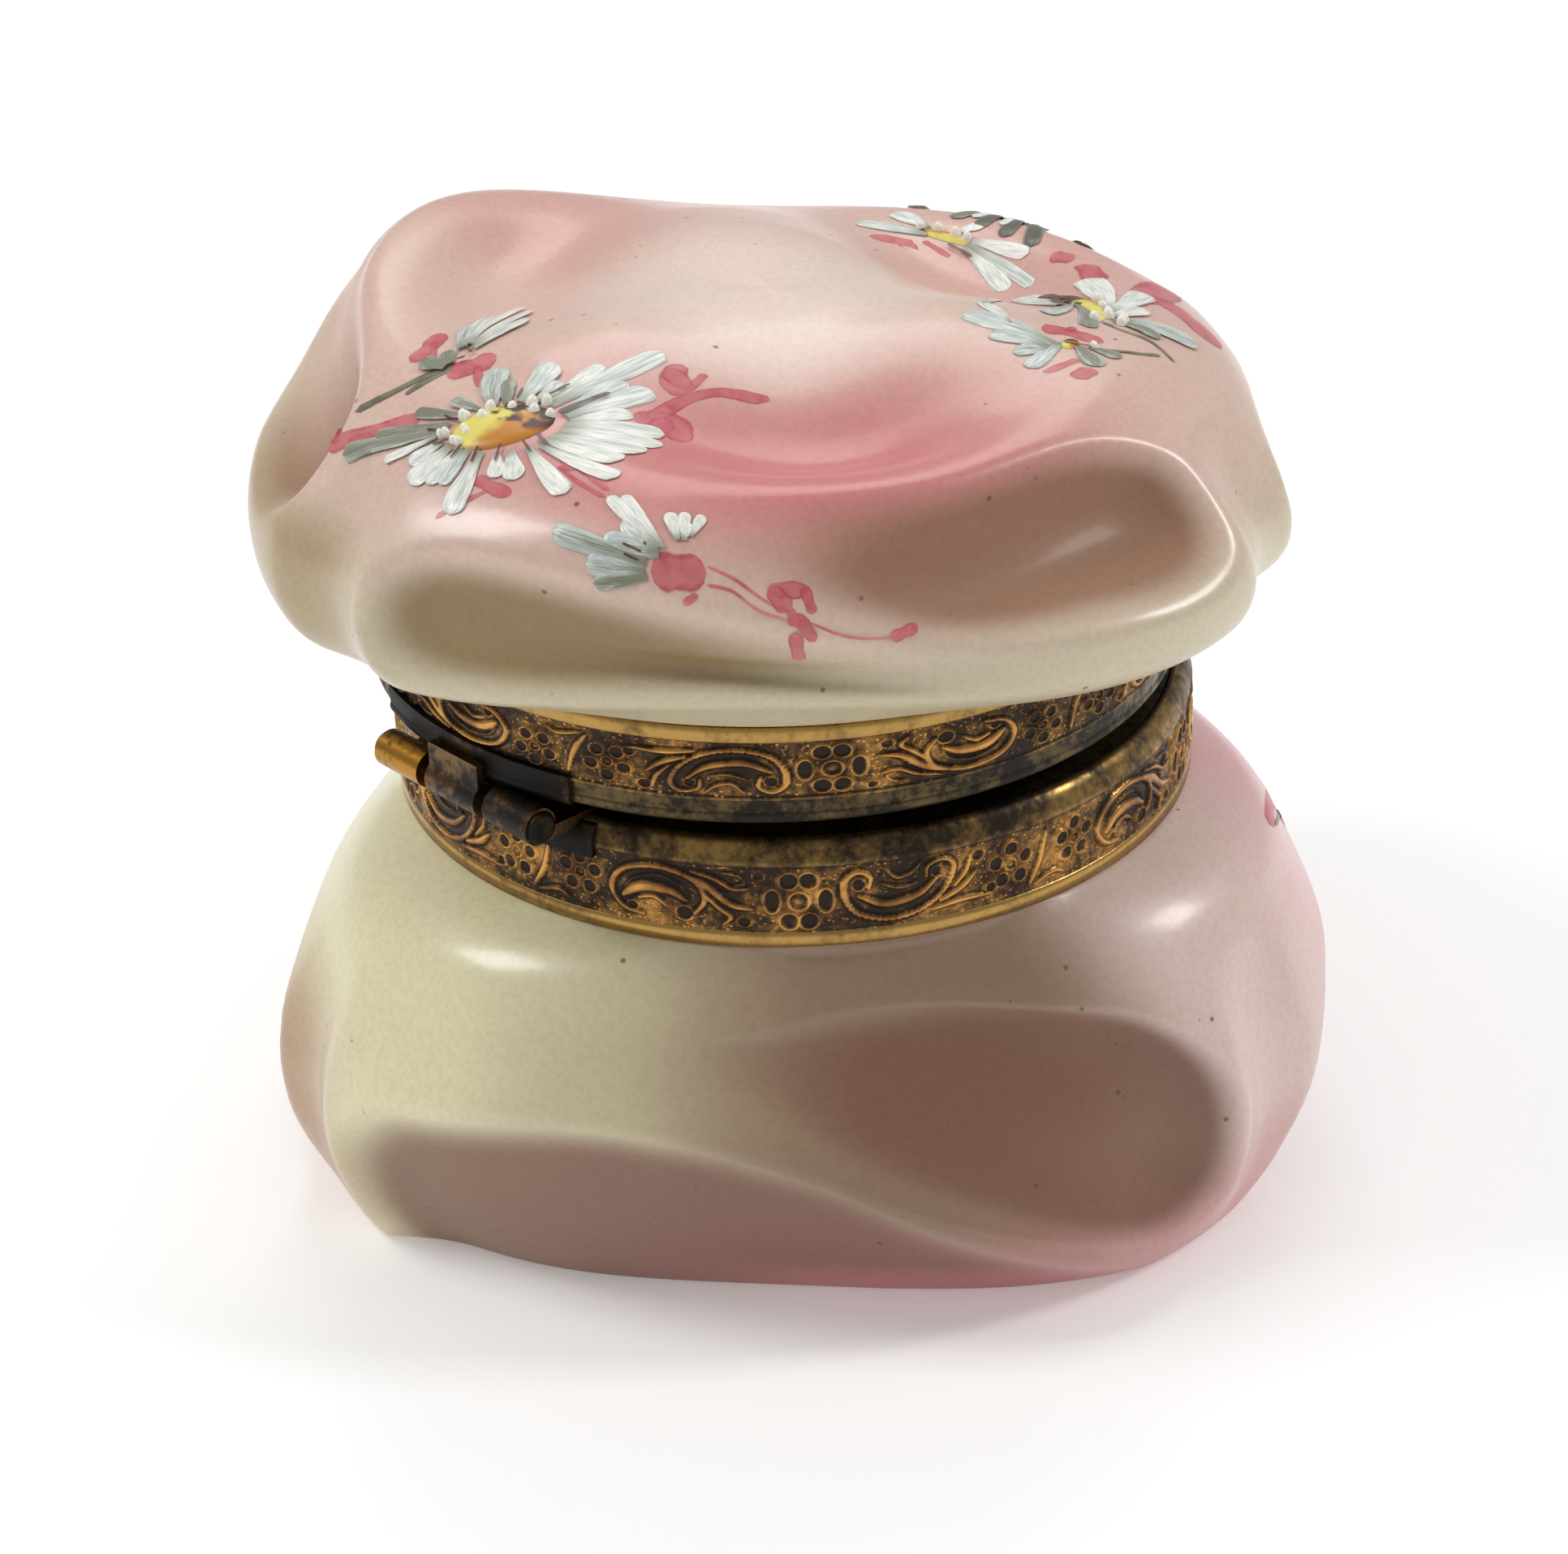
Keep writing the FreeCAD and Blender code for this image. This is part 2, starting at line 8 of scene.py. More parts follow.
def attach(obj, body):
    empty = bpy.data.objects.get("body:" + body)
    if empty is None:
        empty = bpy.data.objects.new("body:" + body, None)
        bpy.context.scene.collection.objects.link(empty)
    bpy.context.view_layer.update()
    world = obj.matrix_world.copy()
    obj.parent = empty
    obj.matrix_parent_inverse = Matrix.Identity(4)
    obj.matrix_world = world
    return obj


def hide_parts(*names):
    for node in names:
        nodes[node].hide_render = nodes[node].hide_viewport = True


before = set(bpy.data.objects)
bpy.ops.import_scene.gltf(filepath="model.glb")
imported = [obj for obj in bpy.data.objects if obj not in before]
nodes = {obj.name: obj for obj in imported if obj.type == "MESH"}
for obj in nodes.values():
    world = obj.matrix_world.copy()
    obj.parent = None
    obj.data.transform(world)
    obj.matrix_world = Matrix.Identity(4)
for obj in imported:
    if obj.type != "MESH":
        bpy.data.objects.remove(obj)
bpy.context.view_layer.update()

mm = 0.001
swirlTurn = 137.5                    # degrees from +X to azimuth 0, the side that faces the camera
lidMiddle = 1.8                      # the lid sits this far towards the hinge, mm
bandBottom = 31.5                    # where the bowl ends and the lower collar begins, mm
lidBandTop = 50.4                    # where the upper collar ends and the dome begins, mm


# Smooth curve through (x, y) points: a cubic with Catmull-Rom slopes, level past both ends.
def curveThrough(points, x):
    points = np.asarray(points, float)
    px, py = points[:, 0], points[:, 1]
    x = np.clip(np.asarray(x, float), px[0], px[-1])
    i = np.clip(np.searchsorted(px, x, side="right") - 1, 0, len(px) - 2)
    before, after = np.maximum(i - 1, 0), np.minimum(i + 2, len(px) - 1)
    slopeStart = (py[i + 1] - py[before]) / (px[i + 1] - px[before])
    slopeEnd = (py[after] - py[i]) / (px[after] - px[i])
    step = px[i + 1] - px[i]
    t = (x - px[i]) / step
    return (py[i] * (1 + 2 * t) * (1 - t) ** 2 + py[i + 1] * t * t * (3 - 2 * t)
            + step * t * (1 - t) * (slopeStart * (1 - t) - slopeEnd * t))


# Samples of the smooth curve through plane points, evenly spaced in point number.
def alongLine(points, count):
    points = np.asarray(points, float)
    place = np.arange(len(points), dtype=float)
    t = np.linspace(0, len(points) - 1, count)
    return np.stack([curveThrough(np.stack([place, values], 1), t) for values in points.T], 1)


# 0 below low, 1 above high, 3t^2 - 2t^3 between.
def smoothStep(low, high, x):
    t = np.clip((x - low) / (high - low), 0, 1)
    return t * t * (3 - 2 * t)


# Rounding of an end: a quarter ellipse that closes from 1 to 0 over the last part of a unit length.
def roundEnd(past, reach):
    return np.sqrt(np.clip(1 - (np.clip(past, 0, 1) / reach) ** 2, 0, 1))


# Linear colour from the 0-255 numbers that a colour picker shows.
def paint(red, green, blue):
    return tuple((c / 255 / 12.92 if c <= 10 else ((c / 255 + 0.055) / 1.055) ** 2.4)
                 for c in (red, green, blue)) + (1,)


# Points of turned work: radius and height in mm, carried round an upright axis.
def ringAt(radius, height, middle, azimuth):
    turn = np.radians(azimuth + swirlTurn)
    return np.stack([radius * np.cos(turn), middle + radius * np.sin(turn), height + 0 * turn], -1)


# Quads of a rows x columns grid of points, joined round its columns when wrap is true.
def quadGrid(rows, columns, wrap=False, start=0):
    index = start + np.arange(rows * columns).reshape(rows, columns)
    right = np.roll(index, -1, axis=1) if wrap else index[:, 1:]
    left = index if wrap else index[:, :-1]
    return np.stack([left[:-1], right[:-1], right[1:], left[1:]], -1).reshape(-1, 4)


# Mesh object from points in mm and a list of face blocks; marks are float attributes on its points.
def makePiece(name, points, faces, body, marks):
    mesh = bpy.data.meshes.new(name)
    mesh.from_pydata((np.asarray(points, float).reshape(-1, 3) * mm).tolist(), [],
                     [face for block in faces for face in block.tolist()])
    mesh.update()
    mesh.polygons.foreach_set("use_smooth", np.ones(len(mesh.polygons), bool))
    for mark, values in marks.items():
        layer = mesh.attributes.new(mark, "FLOAT", "POINT")
        layer.data.foreach_set("value", np.asarray(values, np.float32).ravel())
    piece = bpy.data.objects.new(name, mesh)
    bpy.context.scene.collection.objects.link(piece)
    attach(piece, body)
    return piece


# Swirled glass. Sizes in mm, azimuth in degrees; each curve is (height or distance along, value),
# and a scoop's curves are (azimuth, value). Everything repeats three times round.
bowlGlass = {
    "profile": [(0, 36.6), (2, 38.2), (5, 39.9), (9, 41.3), (13, 41.7), (17, 41), (21, 39.2),
                (25, 36.9), (28, 34.9), (30, 33), (31.5, 30.9)],
    "swell": [(0, 2.3), (5, 2.2), (12, 2.3), (20, 2.5), (25, 2.7), (28.5, 2.9), (30.5, 1.9),
              (31.5, 0)],
    "corner": [(0, -60), (13, -60), (18, -58), (23, -54), (27.6, -50), (29.4, -48), (31.5, -46)],
    "scoops": [
        {"head": -57, "tail": 44, "roundFrom": 0.86, "edge": (1, 0.8), "flatness": 3,
         "centre": [(-57, 2), (-40, 0), (0, -2), (44, -2)],
         "halfWidth": [(-57, 13), (-45, 17), (-22, 20.5), (0, 18), (16, 12.2), (30, 6.8), (44, 2)],
         "depth": [(-57, 2.6), (-48, 4), (-25, 5.4), (-5, 5.2), (15, 3.8), (30, 2), (44, 0)]},
        {"head": 50, "tail": -16, "roundFrom": 0.78, "edge": (1.3, 0.8), "flatness": 3,
         "centre": [(-16, 25), (-4, 23), (6, 21), (21, 18.2), (37, 14.6), (51, 11.5)],
         "halfWidth": [(-16, 0.6), (-4, 3.2), (6, 5.8), (21, 8.2), (37, 9.8), (51, 10.4)],
         "depth": [(-16, 0), (-4, 0.9), (6, 1.9), (21, 3.4), (37, 4.5), (51, 4)]}],
    "flute": {"azimuth": 57, "half": 7, "depth": 1.9, "middle": 13, "reach": 12},
    "wall": 3.4, "floor": 4, "neck": 29.5, "bore": 26.9, "neckTop": 38.8,
}

lidGlass = {
    "profile": [(0, 30.6, 0), (4, 34.3, 0.9), (8, 37.4, 3), (11, 38.3, 5.4), (14, 38.3, 8),
                (18, 36.9, 11.6), (23, 33.9, 15.6), (29, 28.6, 18), (36, 21, 17.7),
                (44, 13.4, 19.6), (51, 6.4, 20.4), (57.4, 0, 20.6)],
    "swell": [(0, 0), (1, 0), (4, 1.6), (8, 2.4), (12, 2.6), (18, 0.8), (24, -0.4), (30, 0.2), (36, 2.3),
              (43, 1.5), (50, 0.3), (57.4, 0)],
    "corner": [(4, -62), (14, -57), (20, -52), (40, -52)],
    "scoops": [
        {"head": -46.5, "tail": 34, "roundFrom": 0.84, "edge": (1.6, 0.8), "flatness": 2.4,
         "centre": [(-47, 12.3), (-30, 12.7), (-10, 12), (10, 11.2), (34, 11)],
         "halfWidth": [(-47, 5.2), (-30, 6.6), (-10, 6.4), (10, 5), (34, 4)],
         "depth": [(-47, 2.6), (-30, 3), (-10, 2.3), (10, 1), (34, 0)]},
        {"head": 57.5, "tail": -14, "roundFrom": 0.78, "edge": (1.4, 0.8), "flatness": 2.2,
         "centre": [(-14, 24), (0, 22.6), (20, 20.8), (40, 20.2), (58, 18)],
         "halfWidth": [(-14, 3), (0, 4.6), (20, 6.4), (40, 7), (58, 6.6)],
         "depth": [(-14, 0), (0, 0.8), (20, 3), (40, 4), (58, 3.8)]}],
    "flute": {"azimuth": -54, "half": 8, "depth": 1.9, "middle": 13, "reach": 9},
    "lean": 0.07, "arms": [(-50, -0.4), (70, 2.2), (-165, -3.2), (-128, 3.2)],
    "wall": 3.2, "neck": 29.7, "bore": 26.7, "neckBottom": 45.75,
}


# Comet-shaped hollow: deepest on its centre line, (1 - |across|^flatness)^edge, rounded at its head.
def scoopDepth(scoop, azimuth, along):
    depth = 0
    for turn in (-120, 0, 120):
        a = (azimuth + 60) % 120 - 60 + turn
        share = (a - scoop["tail"]) / (scoop["head"] - scoop["tail"])
        nearHead = np.clip((share - scoop["roundFrom"]) / (1 - scoop["roundFrom"]), 0, 1)
        half = curveThrough(scoop["halfWidth"], a) * (1 - nearHead ** 2.6) ** (1 / 2.6)
        across = (along - curveThrough(scoop["centre"], a)) / np.maximum(half, 1e-6)
        floor = curveThrough(scoop["depth"], a) * (1 - nearHead ** 4)
        edge = np.where(across > 0, scoop["edge"][1], scoop["edge"][0])
        hollow = floor * np.clip(1 - np.abs(across) ** scoop["flatness"], 0, 1) ** edge
        depth = depth + np.where((share > 0) & (share < 1), hollow, 0)
    return depth


# Shallow upright groove: a parabola across and along.
def fluteDepth(flute, azimuth, along):
    a = (azimuth - flute["azimuth"] + 60) % 120 - 60
    return (flute["depth"] * np.clip(1 - (a / flute["half"]) ** 2, 0, 1) ** 1.5
            * np.clip(1 - ((along - flute["middle"]) / flute["reach"]) ** 2, 0, 1))


# How far the swirl stands proud: swell cos 3(azimuth - corner), less the scoops and the flute.
def swirlPush(glass, azimuth, along):
    lobes = np.cos(np.radians(3 * (azimuth - curveThrough(glass["corner"], along))))
    scoops = sum(scoopDepth(scoop, azimuth, along) for scoop in glass["scoops"])
    return curveThrough(glass["swell"], along) * lobes - scoops - fluteDepth(glass["flute"], azimuth, along)


# Radius = profile(height) + swirl push.
def bowlPoint(azimuth, height, inset=0):
    azimuth, height = np.broadcast_arrays(np.asarray(azimuth, float), np.asarray(height, float))
    radius = curveThrough(bowlGlass["profile"], height) + swirlPush(bowlGlass, azimuth, height) - inset
    return ringAt(radius, height, 0, azimuth)


# As the bowl, but measured along a profile that runs to the crown and pushed along its normal;
# then the dome leans to one side and its arms lift by cos^4 of the angle from each.
def lidPoint(azimuth, along, inset=0):
    azimuth, along = np.broadcast_arrays(np.asarray(azimuth, float), np.asarray(along, float))
    g = lidGlass
    radial = [(p[0], p[1]) for p in g["profile"]]
    upright = [(p[0], p[2]) for p in g["profile"]]
    near = 0.4                       # step either side that gives the profile's slope
    run = curveThrough(radial, along + near) - curveThrough(radial, along - near)
    rise = curveThrough(upright, along + near) - curveThrough(upright, along - near)
    push = (swirlPush(g, azimuth, along) - inset) / np.hypot(run, rise)
    radius = curveThrough(radial, along) + push * rise
    height = curveThrough(upright, along) - push * run
    up = np.clip(height / 8, 0, 1)
    angle = np.radians(azimuth)
    height = height - up * g["lean"] * radius * np.sin(angle)
    for middle, lift in g["arms"]:
        height = height + (up * np.clip((radius - 8) / 20, 0, 1) * lift
                           * np.clip(np.cos(angle - math.radians(middle)), 0, 1) ** 4)
    return ringAt(radius, lidBandTop + height, lidMiddle, azimuth)


# Closed skin over a stack of rings, with a fan of triangles over its first and last ring.
def closedShell(name, rings, body, marks):
    rows, columns = rings.shape[:2]
    points = np.concatenate([rings.reshape(-1, 3), rings[0].mean(0)[None], rings[-1].mean(0)[None]])
    index = np.arange(columns)
    after = np.roll(index, -1)
    last = (rows - 1) * columns
    bottomFan = np.stack([after, index, np.full(columns, rows * columns)], -1)
    topFan = np.stack([index + last, after + last, np.full(columns, rows * columns + 1)], -1)
    padded = {mark: np.concatenate([v.ravel(), [v[0].mean(), v[-1].mean()]]) for mark, v in marks.items()}
    return makePiece(name, points, [quadGrid(rows, columns, True), bottomFan, topFan], body,
                     padded)


# A grid smoothed lightly both ways, 1-2-1, so that creases run clean across its cells.
def settled(grid, times=3):
    for i in range(times):
        grid = (np.roll(grid, 1, 1) + 2 * grid + np.roll(grid, -1, 1)) / 4
        grid[1:-1] = (grid[:-2] + 2 * grid[1:-1] + grid[2:]) / 4
    return grid


# Rings of turned work through a list of (radius, height).
def turnedRings(pairs, middle, azimuth):
    return np.stack([ringAt(radius, height, middle, azimuth[0]) for radius, height in pairs])


# Marks of a shell: its scoops' depths and any others on the outer skin, and 1 on every ring beyond it.
def shellMarks(glass, azimuth, along, under, beyond, others):
    scoops = [settled(scoopDepth(scoop, azimuth, along), 5) for scoop in glass["scoops"]]
    skin = {"lowScoop": scoops[0], "highScoop": scoops[1], **others}
    rows, columns = scoops[0].shape
    before, after = np.zeros((under, columns)), np.zeros((beyond, columns))
    marks = {mark: np.concatenate([before, values, after]) for mark, values in skin.items()}
    marks["inside"] = np.concatenate([np.zeros((under + rows, columns)), after + 1])
    return marks


def bowlShell():
    g = bowlGlass
    azimuth = np.arange(0, 360, 0.6)[None, :]
    footRound, rows = 0.9, 112
    wallHeights = np.linspace(footRound * 1.1, bandBottom, rows)
    heights = np.concatenate([[0, 0, footRound * 0.4], wallHeights])[:, None]
    insets = np.concatenate([footRound * np.array([1, 0.45, 0.08]), np.zeros(rows)])[:, None]
    outside = bowlPoint(azimuth, heights, insets)
    outside[3:] = settled(outside[3:])
    under = np.stack([outside[0] * np.array([share, share, 1]) for share in (0.03, 0.4, 0.8, 0.93)])
    under[:3, :, 2] += np.array([0.5, 0.5, 0.42])[:, None]           # faint hollow under the foot
    neck = turnedRings([(g["neck"], 31.5), (g["neck"], 31.8), (g["neck"], g["neckTop"]),
                        (g["bore"], g["neckTop"]), (g["bore"], 32.5), (g["bore"], 31.2),
                        (g["bore"] + 0.3, 30.2)], 0, azimuth)
    inner = bowlPoint(azimuth, np.linspace(29.1, 8.2, 26)[:, None], g["wall"])
    low = [bowlPoint(azimuth, g["floor"] + lift, g["wall"])[0] * np.array([share, share, 1])
           for share, lift in ((0.97, 2.2), (0.90, 0.8), (0.78, 0.15), (0.6, 0), (0.3, 0), (0.03, 0))]
    rings = np.concatenate([under, outside, neck, inner, np.stack(low)])
    beyond = len(rings) - len(under) - len(outside)
    return closedShell("bowlGlass", rings, "base",
                       shellMarks(g, azimuth, heights, len(under), beyond, {}))


def lidShell():
    g = lidGlass
    azimuth = (np.arange(540) / 1.5)[None, :]
    alongs = np.linspace(56.6, 0, 134)[:, None]
    outside = settled(lidPoint(azimuth, alongs))
    neck = turnedRings([(g["neck"], lidBandTop), (g["neck"], lidBandTop - 0.3), (g["neck"], g["neckBottom"]),
                        (g["bore"], g["neckBottom"]), (g["bore"], lidBandTop), (g["bore"], lidBandTop + 1.2),
                        (g["bore"] + 0.4, lidBandTop + 2.2), (g["bore"] + 3.2, lidBandTop + 3.5)],
                       lidMiddle, azimuth)
    inner = lidPoint(azimuth, np.linspace(6, 54.4, 34)[:, None], g["wall"])
    rings = np.concatenate([outside, neck, inner])
    marks = shellMarks(g, azimuth, alongs, 0, len(rings) - len(outside),
                       {"along": np.broadcast_to(alongs, outside.shape[:2])})
    return closedShell("lidGlass", rings[::-1], "lid", {mark: v[::-1] for mark, v in marks.items()})


bowlPiece = bowlShell()
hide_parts("base_bowl")
lidPiece = lidShell()
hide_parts("lid_dome")
print("glass:", len(bowlPiece.data.polygons), "and", len(lidPiece.data.polygons), "faces")


# Painted flowers: x mm right of and y mm above a group's origin (azimuth, distance along), both
# measured over the glass, so azimuth = origin + x / mean radius. Lift is the height off the glass.
def onGlass(surface, glass, origin, x, y, lift):
    along = origin[1] + y
    mean = curveThrough([(p[0], p[1]) for p in glass["profile"]], along)
    return surface(origin[0] + np.degrees(x / np.maximum(mean, 4)), along, -lift)


petalPaint = {"rows": 18, "columns": 9, "groundLift": 0.03, "layer": 0.005, "body": 0.10}
pinkPaint = {"rows": 18, "columns": 7, "groundLift": 0.022, "layer": 0.0015, "body": 0}

daisy = {                            # open daisy on the lid's left arm, a side daisy beyond it
    "origin": (-44, 30), "heart": [(0.7, -0.5, 3.6, 2.3, 48)],
    "petals": [                      # base, tip, half width, tone: 0 white, 1 grey-green
        (1.9, 2.6, 2.9, 13.6, 0.95, 0.32), (1.5, 2.6, 1.3, 9.4, 0.7, 0.12), (2.9, 2.6, 3.5, 9, 0.75, 0.4),
        (3.6, 2.4, 5.1, 9.5, 1.05, 0.22), (4.2, 2.2, 6, 6.2, 0.85, 0.05), (4.2, 1.8, 9, 5.6, 1.15, 0.1),
        (4.4, 1.2, 10.3, 3.9, 1.15, 0.05), (4.5, 0.4, 10.8, 1.9, 1.1, 0.1),
        (4.5, -0.2, 10.8, -0.1, 0.95, 0.05), (4.6, -0.8, 12.2, -2.2, 0.72, 0),
        (4.2, -1.4, 9.9, -4.7, 0.8, 0), (3.4, -2.2, 5.6, -4.6, 0.85, 0.12),
        (2.6, -2.8, 4.2, -4.9, 0.75, 0.05), (1.4, -3.2, 2.9, -9, 1, 0.1), (0.4, -3.4, 0.6, -7.2, 0.75, 0.35),
        (-0.2, -3.6, -0.5, -7.6, 0.85, 0.15), (-1.2, -3.8, -1.8, -8.2, 1.05, 0.08),
        (-2, -3.8, -3.2, -6.8, 0.8, 0.1), (-2.8, -3.6, -5.4, -7.7, 0.48, 0.05),
        (-2.6, -3, -9.8, -9.2, 0.8, 0.95), (-2.6, -2.2, -7.9, -6.5, 0.7, 1.05),
        (-2.2, -1, -6.4, -3, 0.62, 1.1), (-1.9, 0, -4.7, -0.5, 0.6, 0.85),
        (-1.4, 0.6, -4.7, 3.4, 1.15, 0.62), (-0.6, 1.4, -3, 3, 0.7, 0.95), (-0.1, 1.8, -1.3, 6.7, 1.15, 0.3),
        (0.8, 2.4, 0.7, 5.2, 0.75, 0.35), (-8.9, 3.4, -9.6, 9.3, 0.95, 0.3),
        (-9.2, 3.6, -12.4, 9.7, 0.95, 0.2), (-9.6, 3.4, -15.6, 8.6, 0.95, 0.1),
        (-9.6, 3, -15, 6.6, 0.85, 0.35), (-9.6, 2.8, -13.2, 4.6, 0.7, 0.6),
        (-8.4, 1.2, -10.8, 0.2, 0.85, 1.05), (-8.4, 1.6, -10.4, 2, 0.7, 1)],
    "stems": [                       # grey-green: points, half width
        ([(-8.4, 2), (-9.6, -2), (-11.8, -6.2)], 0.34), ([(-8, 1.6), (-8.8, -2.4)], 0.28)],
    "ticks": [                       # fine dark brown strokes round the heart
        ([(3, 2.5), (3.4, 4.4), (3.8, 6.8)], 0.16), ([(1, 3.2), (1.4, 5.3)], 0.1),
        ([(-0.5, 2), (-1, 2.9)], 0.1), ([(3.7, 0), (5.3, -0.8)], 0.16), ([(3.5, -1.1), (4.9, -1.9)], 0.1),
        ([(2.4, -2.1), (3.2, -3.7)], 0.1), ([(1, -3), (1.6, -4.5)], 0.09),
        ([(-0.3, -3.4), (-0.2, -4.9)], 0.08), ([(-1.5, -3.5), (-2.5, -4.5)], 0.11),
        ([(-2.6, -3.1), (-4, -3.7)], 0.09), ([(-2.2, -1.8), (-3.7, -2)], 0.09),
        ([(-9.4, 3.2), (-8.2, 3.1)], 0.12), ([(-8.4, 2), (-8.1, 2.6)], 0.14)],
    "pink": [
        ([(4.5, 13.3), (5.2, 11), (6.8, 10.6)], 0.75), ([(6.2, 13.4), (6.6, 10.8)], 0.34),
        ([(4.2, 12.2), (6.4, 11.2)], 0.8), ([(7, 6.4), (7.1, 10), (8.4, 12.2), (11.6, 12.4)], 0.6),
        ([(6.2, 5.8), (8, 7.2), (10.2, 5.6)], 1.05), ([(7.6, 7.4), (8.8, 4.4)], 0.75),
        ([(2.6, -5.4), (4.2, -5.7), (6.2, -5.9)], 0.6), ([(4.2, -6.2), (3.4, -7.4), (1.8, -9.6)], 0.24),
        ([(7.4, -1.4), (9.8, -2.4), (12.5, -3.6)], 0.17), ([(7.6, -2.2), (9.6, -3.2), (12.7, -4.3)], 0.17),
        ([(7.5, -2.3), (8.8, -2.1)], 0.36), ([(-5.6, -3), (-8.4, -6), (-11.8, -9.6)], 0.7),
        ([(-8.2, -6.6), (-9.9, -8.6)], 0.62), ([(-11.4, -9), (-14, -7.9), (-16.4, -8.6)], 0.55),
        ([(-8, 1), (-6.8, 2.6), (-6.2, 4.3)], 1.15), ([(-6.6, 2.8), (-4.2, 1.6)], 0.34),
        ([(-13.8, 2.6), (-12.2, 1.4), (-11.6, -0.4)], 0.85), ([(-12.6, 1.8), (-10.4, 1)], 0.3)],
    "dots": [
        (1.4, 3), (0.7, 2.3), (1.5, 1.8), (2.7, 2.1), (-0.1, 1.3), (-1.4, 0.5), (-0.8, -0.4), (-1.1, -0.5),
        (-2.4, -1.2), (-2.1, -1.1), (-1.3, -2.1), (-0.9, -2.3), (-2.7, -3.4), (-2.4, -3.1), (-1.2, -3.4),
        (-0.8, -3.3)],
}
halfDaisy = {                        # half-open daisy, bud and tendrils in front
    "origin": (-5, 20), "heart": [],
    "petals": [
        (-4.6, 2, -8.9, 2, 1.25, 0.55), (-4.8, 2.2, -7.4, 4.2, 1.1, 0.4),
        (-5.4, 1.2, -12.7, 2.2, 0.95, 0.72), (-5.6, 0.6, -10, 0.4, 0.9, 0.62),
        (-5.4, 0.2, -9.4, -0.9, 0.62, 0.92), (-4.6, 2.2, -8.7, 5.9, 0.62, 0.12),
        (-4.3, 2.2, -7.6, 6.2, 0.55, 0.05), (-3.4, 3, -4.2, 5.2, 0.58, 0), (-3, 3, -3.1, 5.4, 0.5, 0),
        (-2.6, 3.4, -1.8, 5.3, 0.45, 0.05), (-3.2, 3.2, -2.4, 4.4, 0.5, 0)],
    "stems": [([(-5.6, 1.6), (-8.2, 1.9), (-11.4, 1.7)], 0.22)],
    "ticks": [
        ([(-7.3, 2.2), (-5.9, 1.8)], 0.09), ([(-7.2, 1.5), (-6.1, 1.2)], 0.09),
        ([(-5.8, 2.5), (-5.6, 2.35)], 0.13)],
    "pink": [
        ([(-5.3, 0.6), (-3.4, 0.75), (-1.4, 0.9)], 1.45), ([(-2, -0.6), (-3, -1.4)], 0.28),
        ([(-1.4, 1.4), (0.6, 0.6), (2.8, -0.8), (4.8, -1.6)], 0.12),
        ([(-1.4, 0.1), (0.4, -0.2), (2.2, -1.4), (4.4, -2.1)], 0.12),
        ([(2.8, 0), (4.4, 0.1), (5.8, 0)], 0.62), ([(5.4, 0.4), (6.1, -1.6)], 0.42),
        ([(3, 0.2), (4.4, -1.4)], 0.72), ([(4.2, -2.1), (5.2, -2.2), (6.3, -3.8)], 0.55),
        ([(4.8, -3), (5.3, -5.8)], 0.55), ([(4.4, -1.2), (5, -2.6)], 0.4),
        ([(5.8, -2.2), (8.2, -3.3), (10.4, -3.7), (12.2, -3.7)], 0.11),
        ([(11.8, -3.8), (12.8, -3.5), (14, -3.1)], 0.52)],
    "dots": [],
}
farDaisies = {                       # crowd of daisies at the right
    "origin": (75, 34), "heart": [(-3.3, -0.9, 0.9, 0.5, -10), (8.6, -1, 5.4, 0.75, 8)],
    "petals": [
        (-4.2, -0.4, -1.6, 8.2, 1.35, 0.5), (-2.6, 4.2, 1.4, 7.6, 0.7, 0.12), (0.6, 7.4, 12, 4.6, 0.75, 0),
        (-4.8, -0.2, -4.2, 5.2, 1, 0.55), (-5, -0.4, -6.2, 2.2, 0.9, 0.6), (-3.6, -0.4, -8, 0.1, 0.7, 0.45),
        (-3.4, -1.4, -5.6, -3.4, 0.85, 0.9), (-3, -2, -3.2, -4.2, 0.7, 0.95), (9, 0, 1.4, 2.2, 1, 0.62),
        (9, -0.4, 0.6, -1.2, 0.7, 1), (9, 0.6, 16.5, 1, 0.9, 0.3), (5.4, -2, 12.6, -5.6, 1.05, 0.15),
        (5.6, -2, 16.5, -2.8, 1.1, 0.05), (4.4, -2.2, 8, -4.8, 0.95, 0.1), (3.4, -2.4, 5.8, -9, 1.35, 0.55),
        (3.4, -2.8, 2.8, -6, 0.9, 0.95)],
    "stems": [
        ([(-3, -2.4), (-1.6, -4.8), (0, -6.4)], 0.2),
        ([(2.8, -1.8), (1.8, -3.4), (1.4, -5.6), (0.2, -7.6)], 0.22),
        ([(4.8, 0.4), (10, 1.1), (15, 0.8)], 0.25)],
    "ticks": [
        ([(12, -0.2), (15, 0.3)], 0.4), ([(-3.6, -0.6), (-2.9, -2.4)], 0.14),
        ([(10, 0.3), (12.5, 0.4)], 0.3)],
    "pink": [
        ([(-2.3, 1.6), (-1.4, 0), (-1.4, -2.6)], 0.85), ([(-1.4, -0.2), (0, -0.4)], 0.3),
        ([(-8.2, -1), (-5.2, -2)], 0.32), ([(-8, -2.8), (-6, -3.2)], 0.7),
        ([(10.4, -4.6), (14, -6.6), (19, -9.6)], 1.4), ([(15.6, -3.2), (20, -4)], 0.8),
        ([(12.6, -6.4), (9, -11.4)], 1.7)],
    "dots": [
        (3.2, -3.1), (3.8, -3.2), (4.4, -2.2), (5.6, -2.2), (7.2, -1.9), (9.4, -1.8), (-2.8, -2.3),
        (3, -1.4)],
}
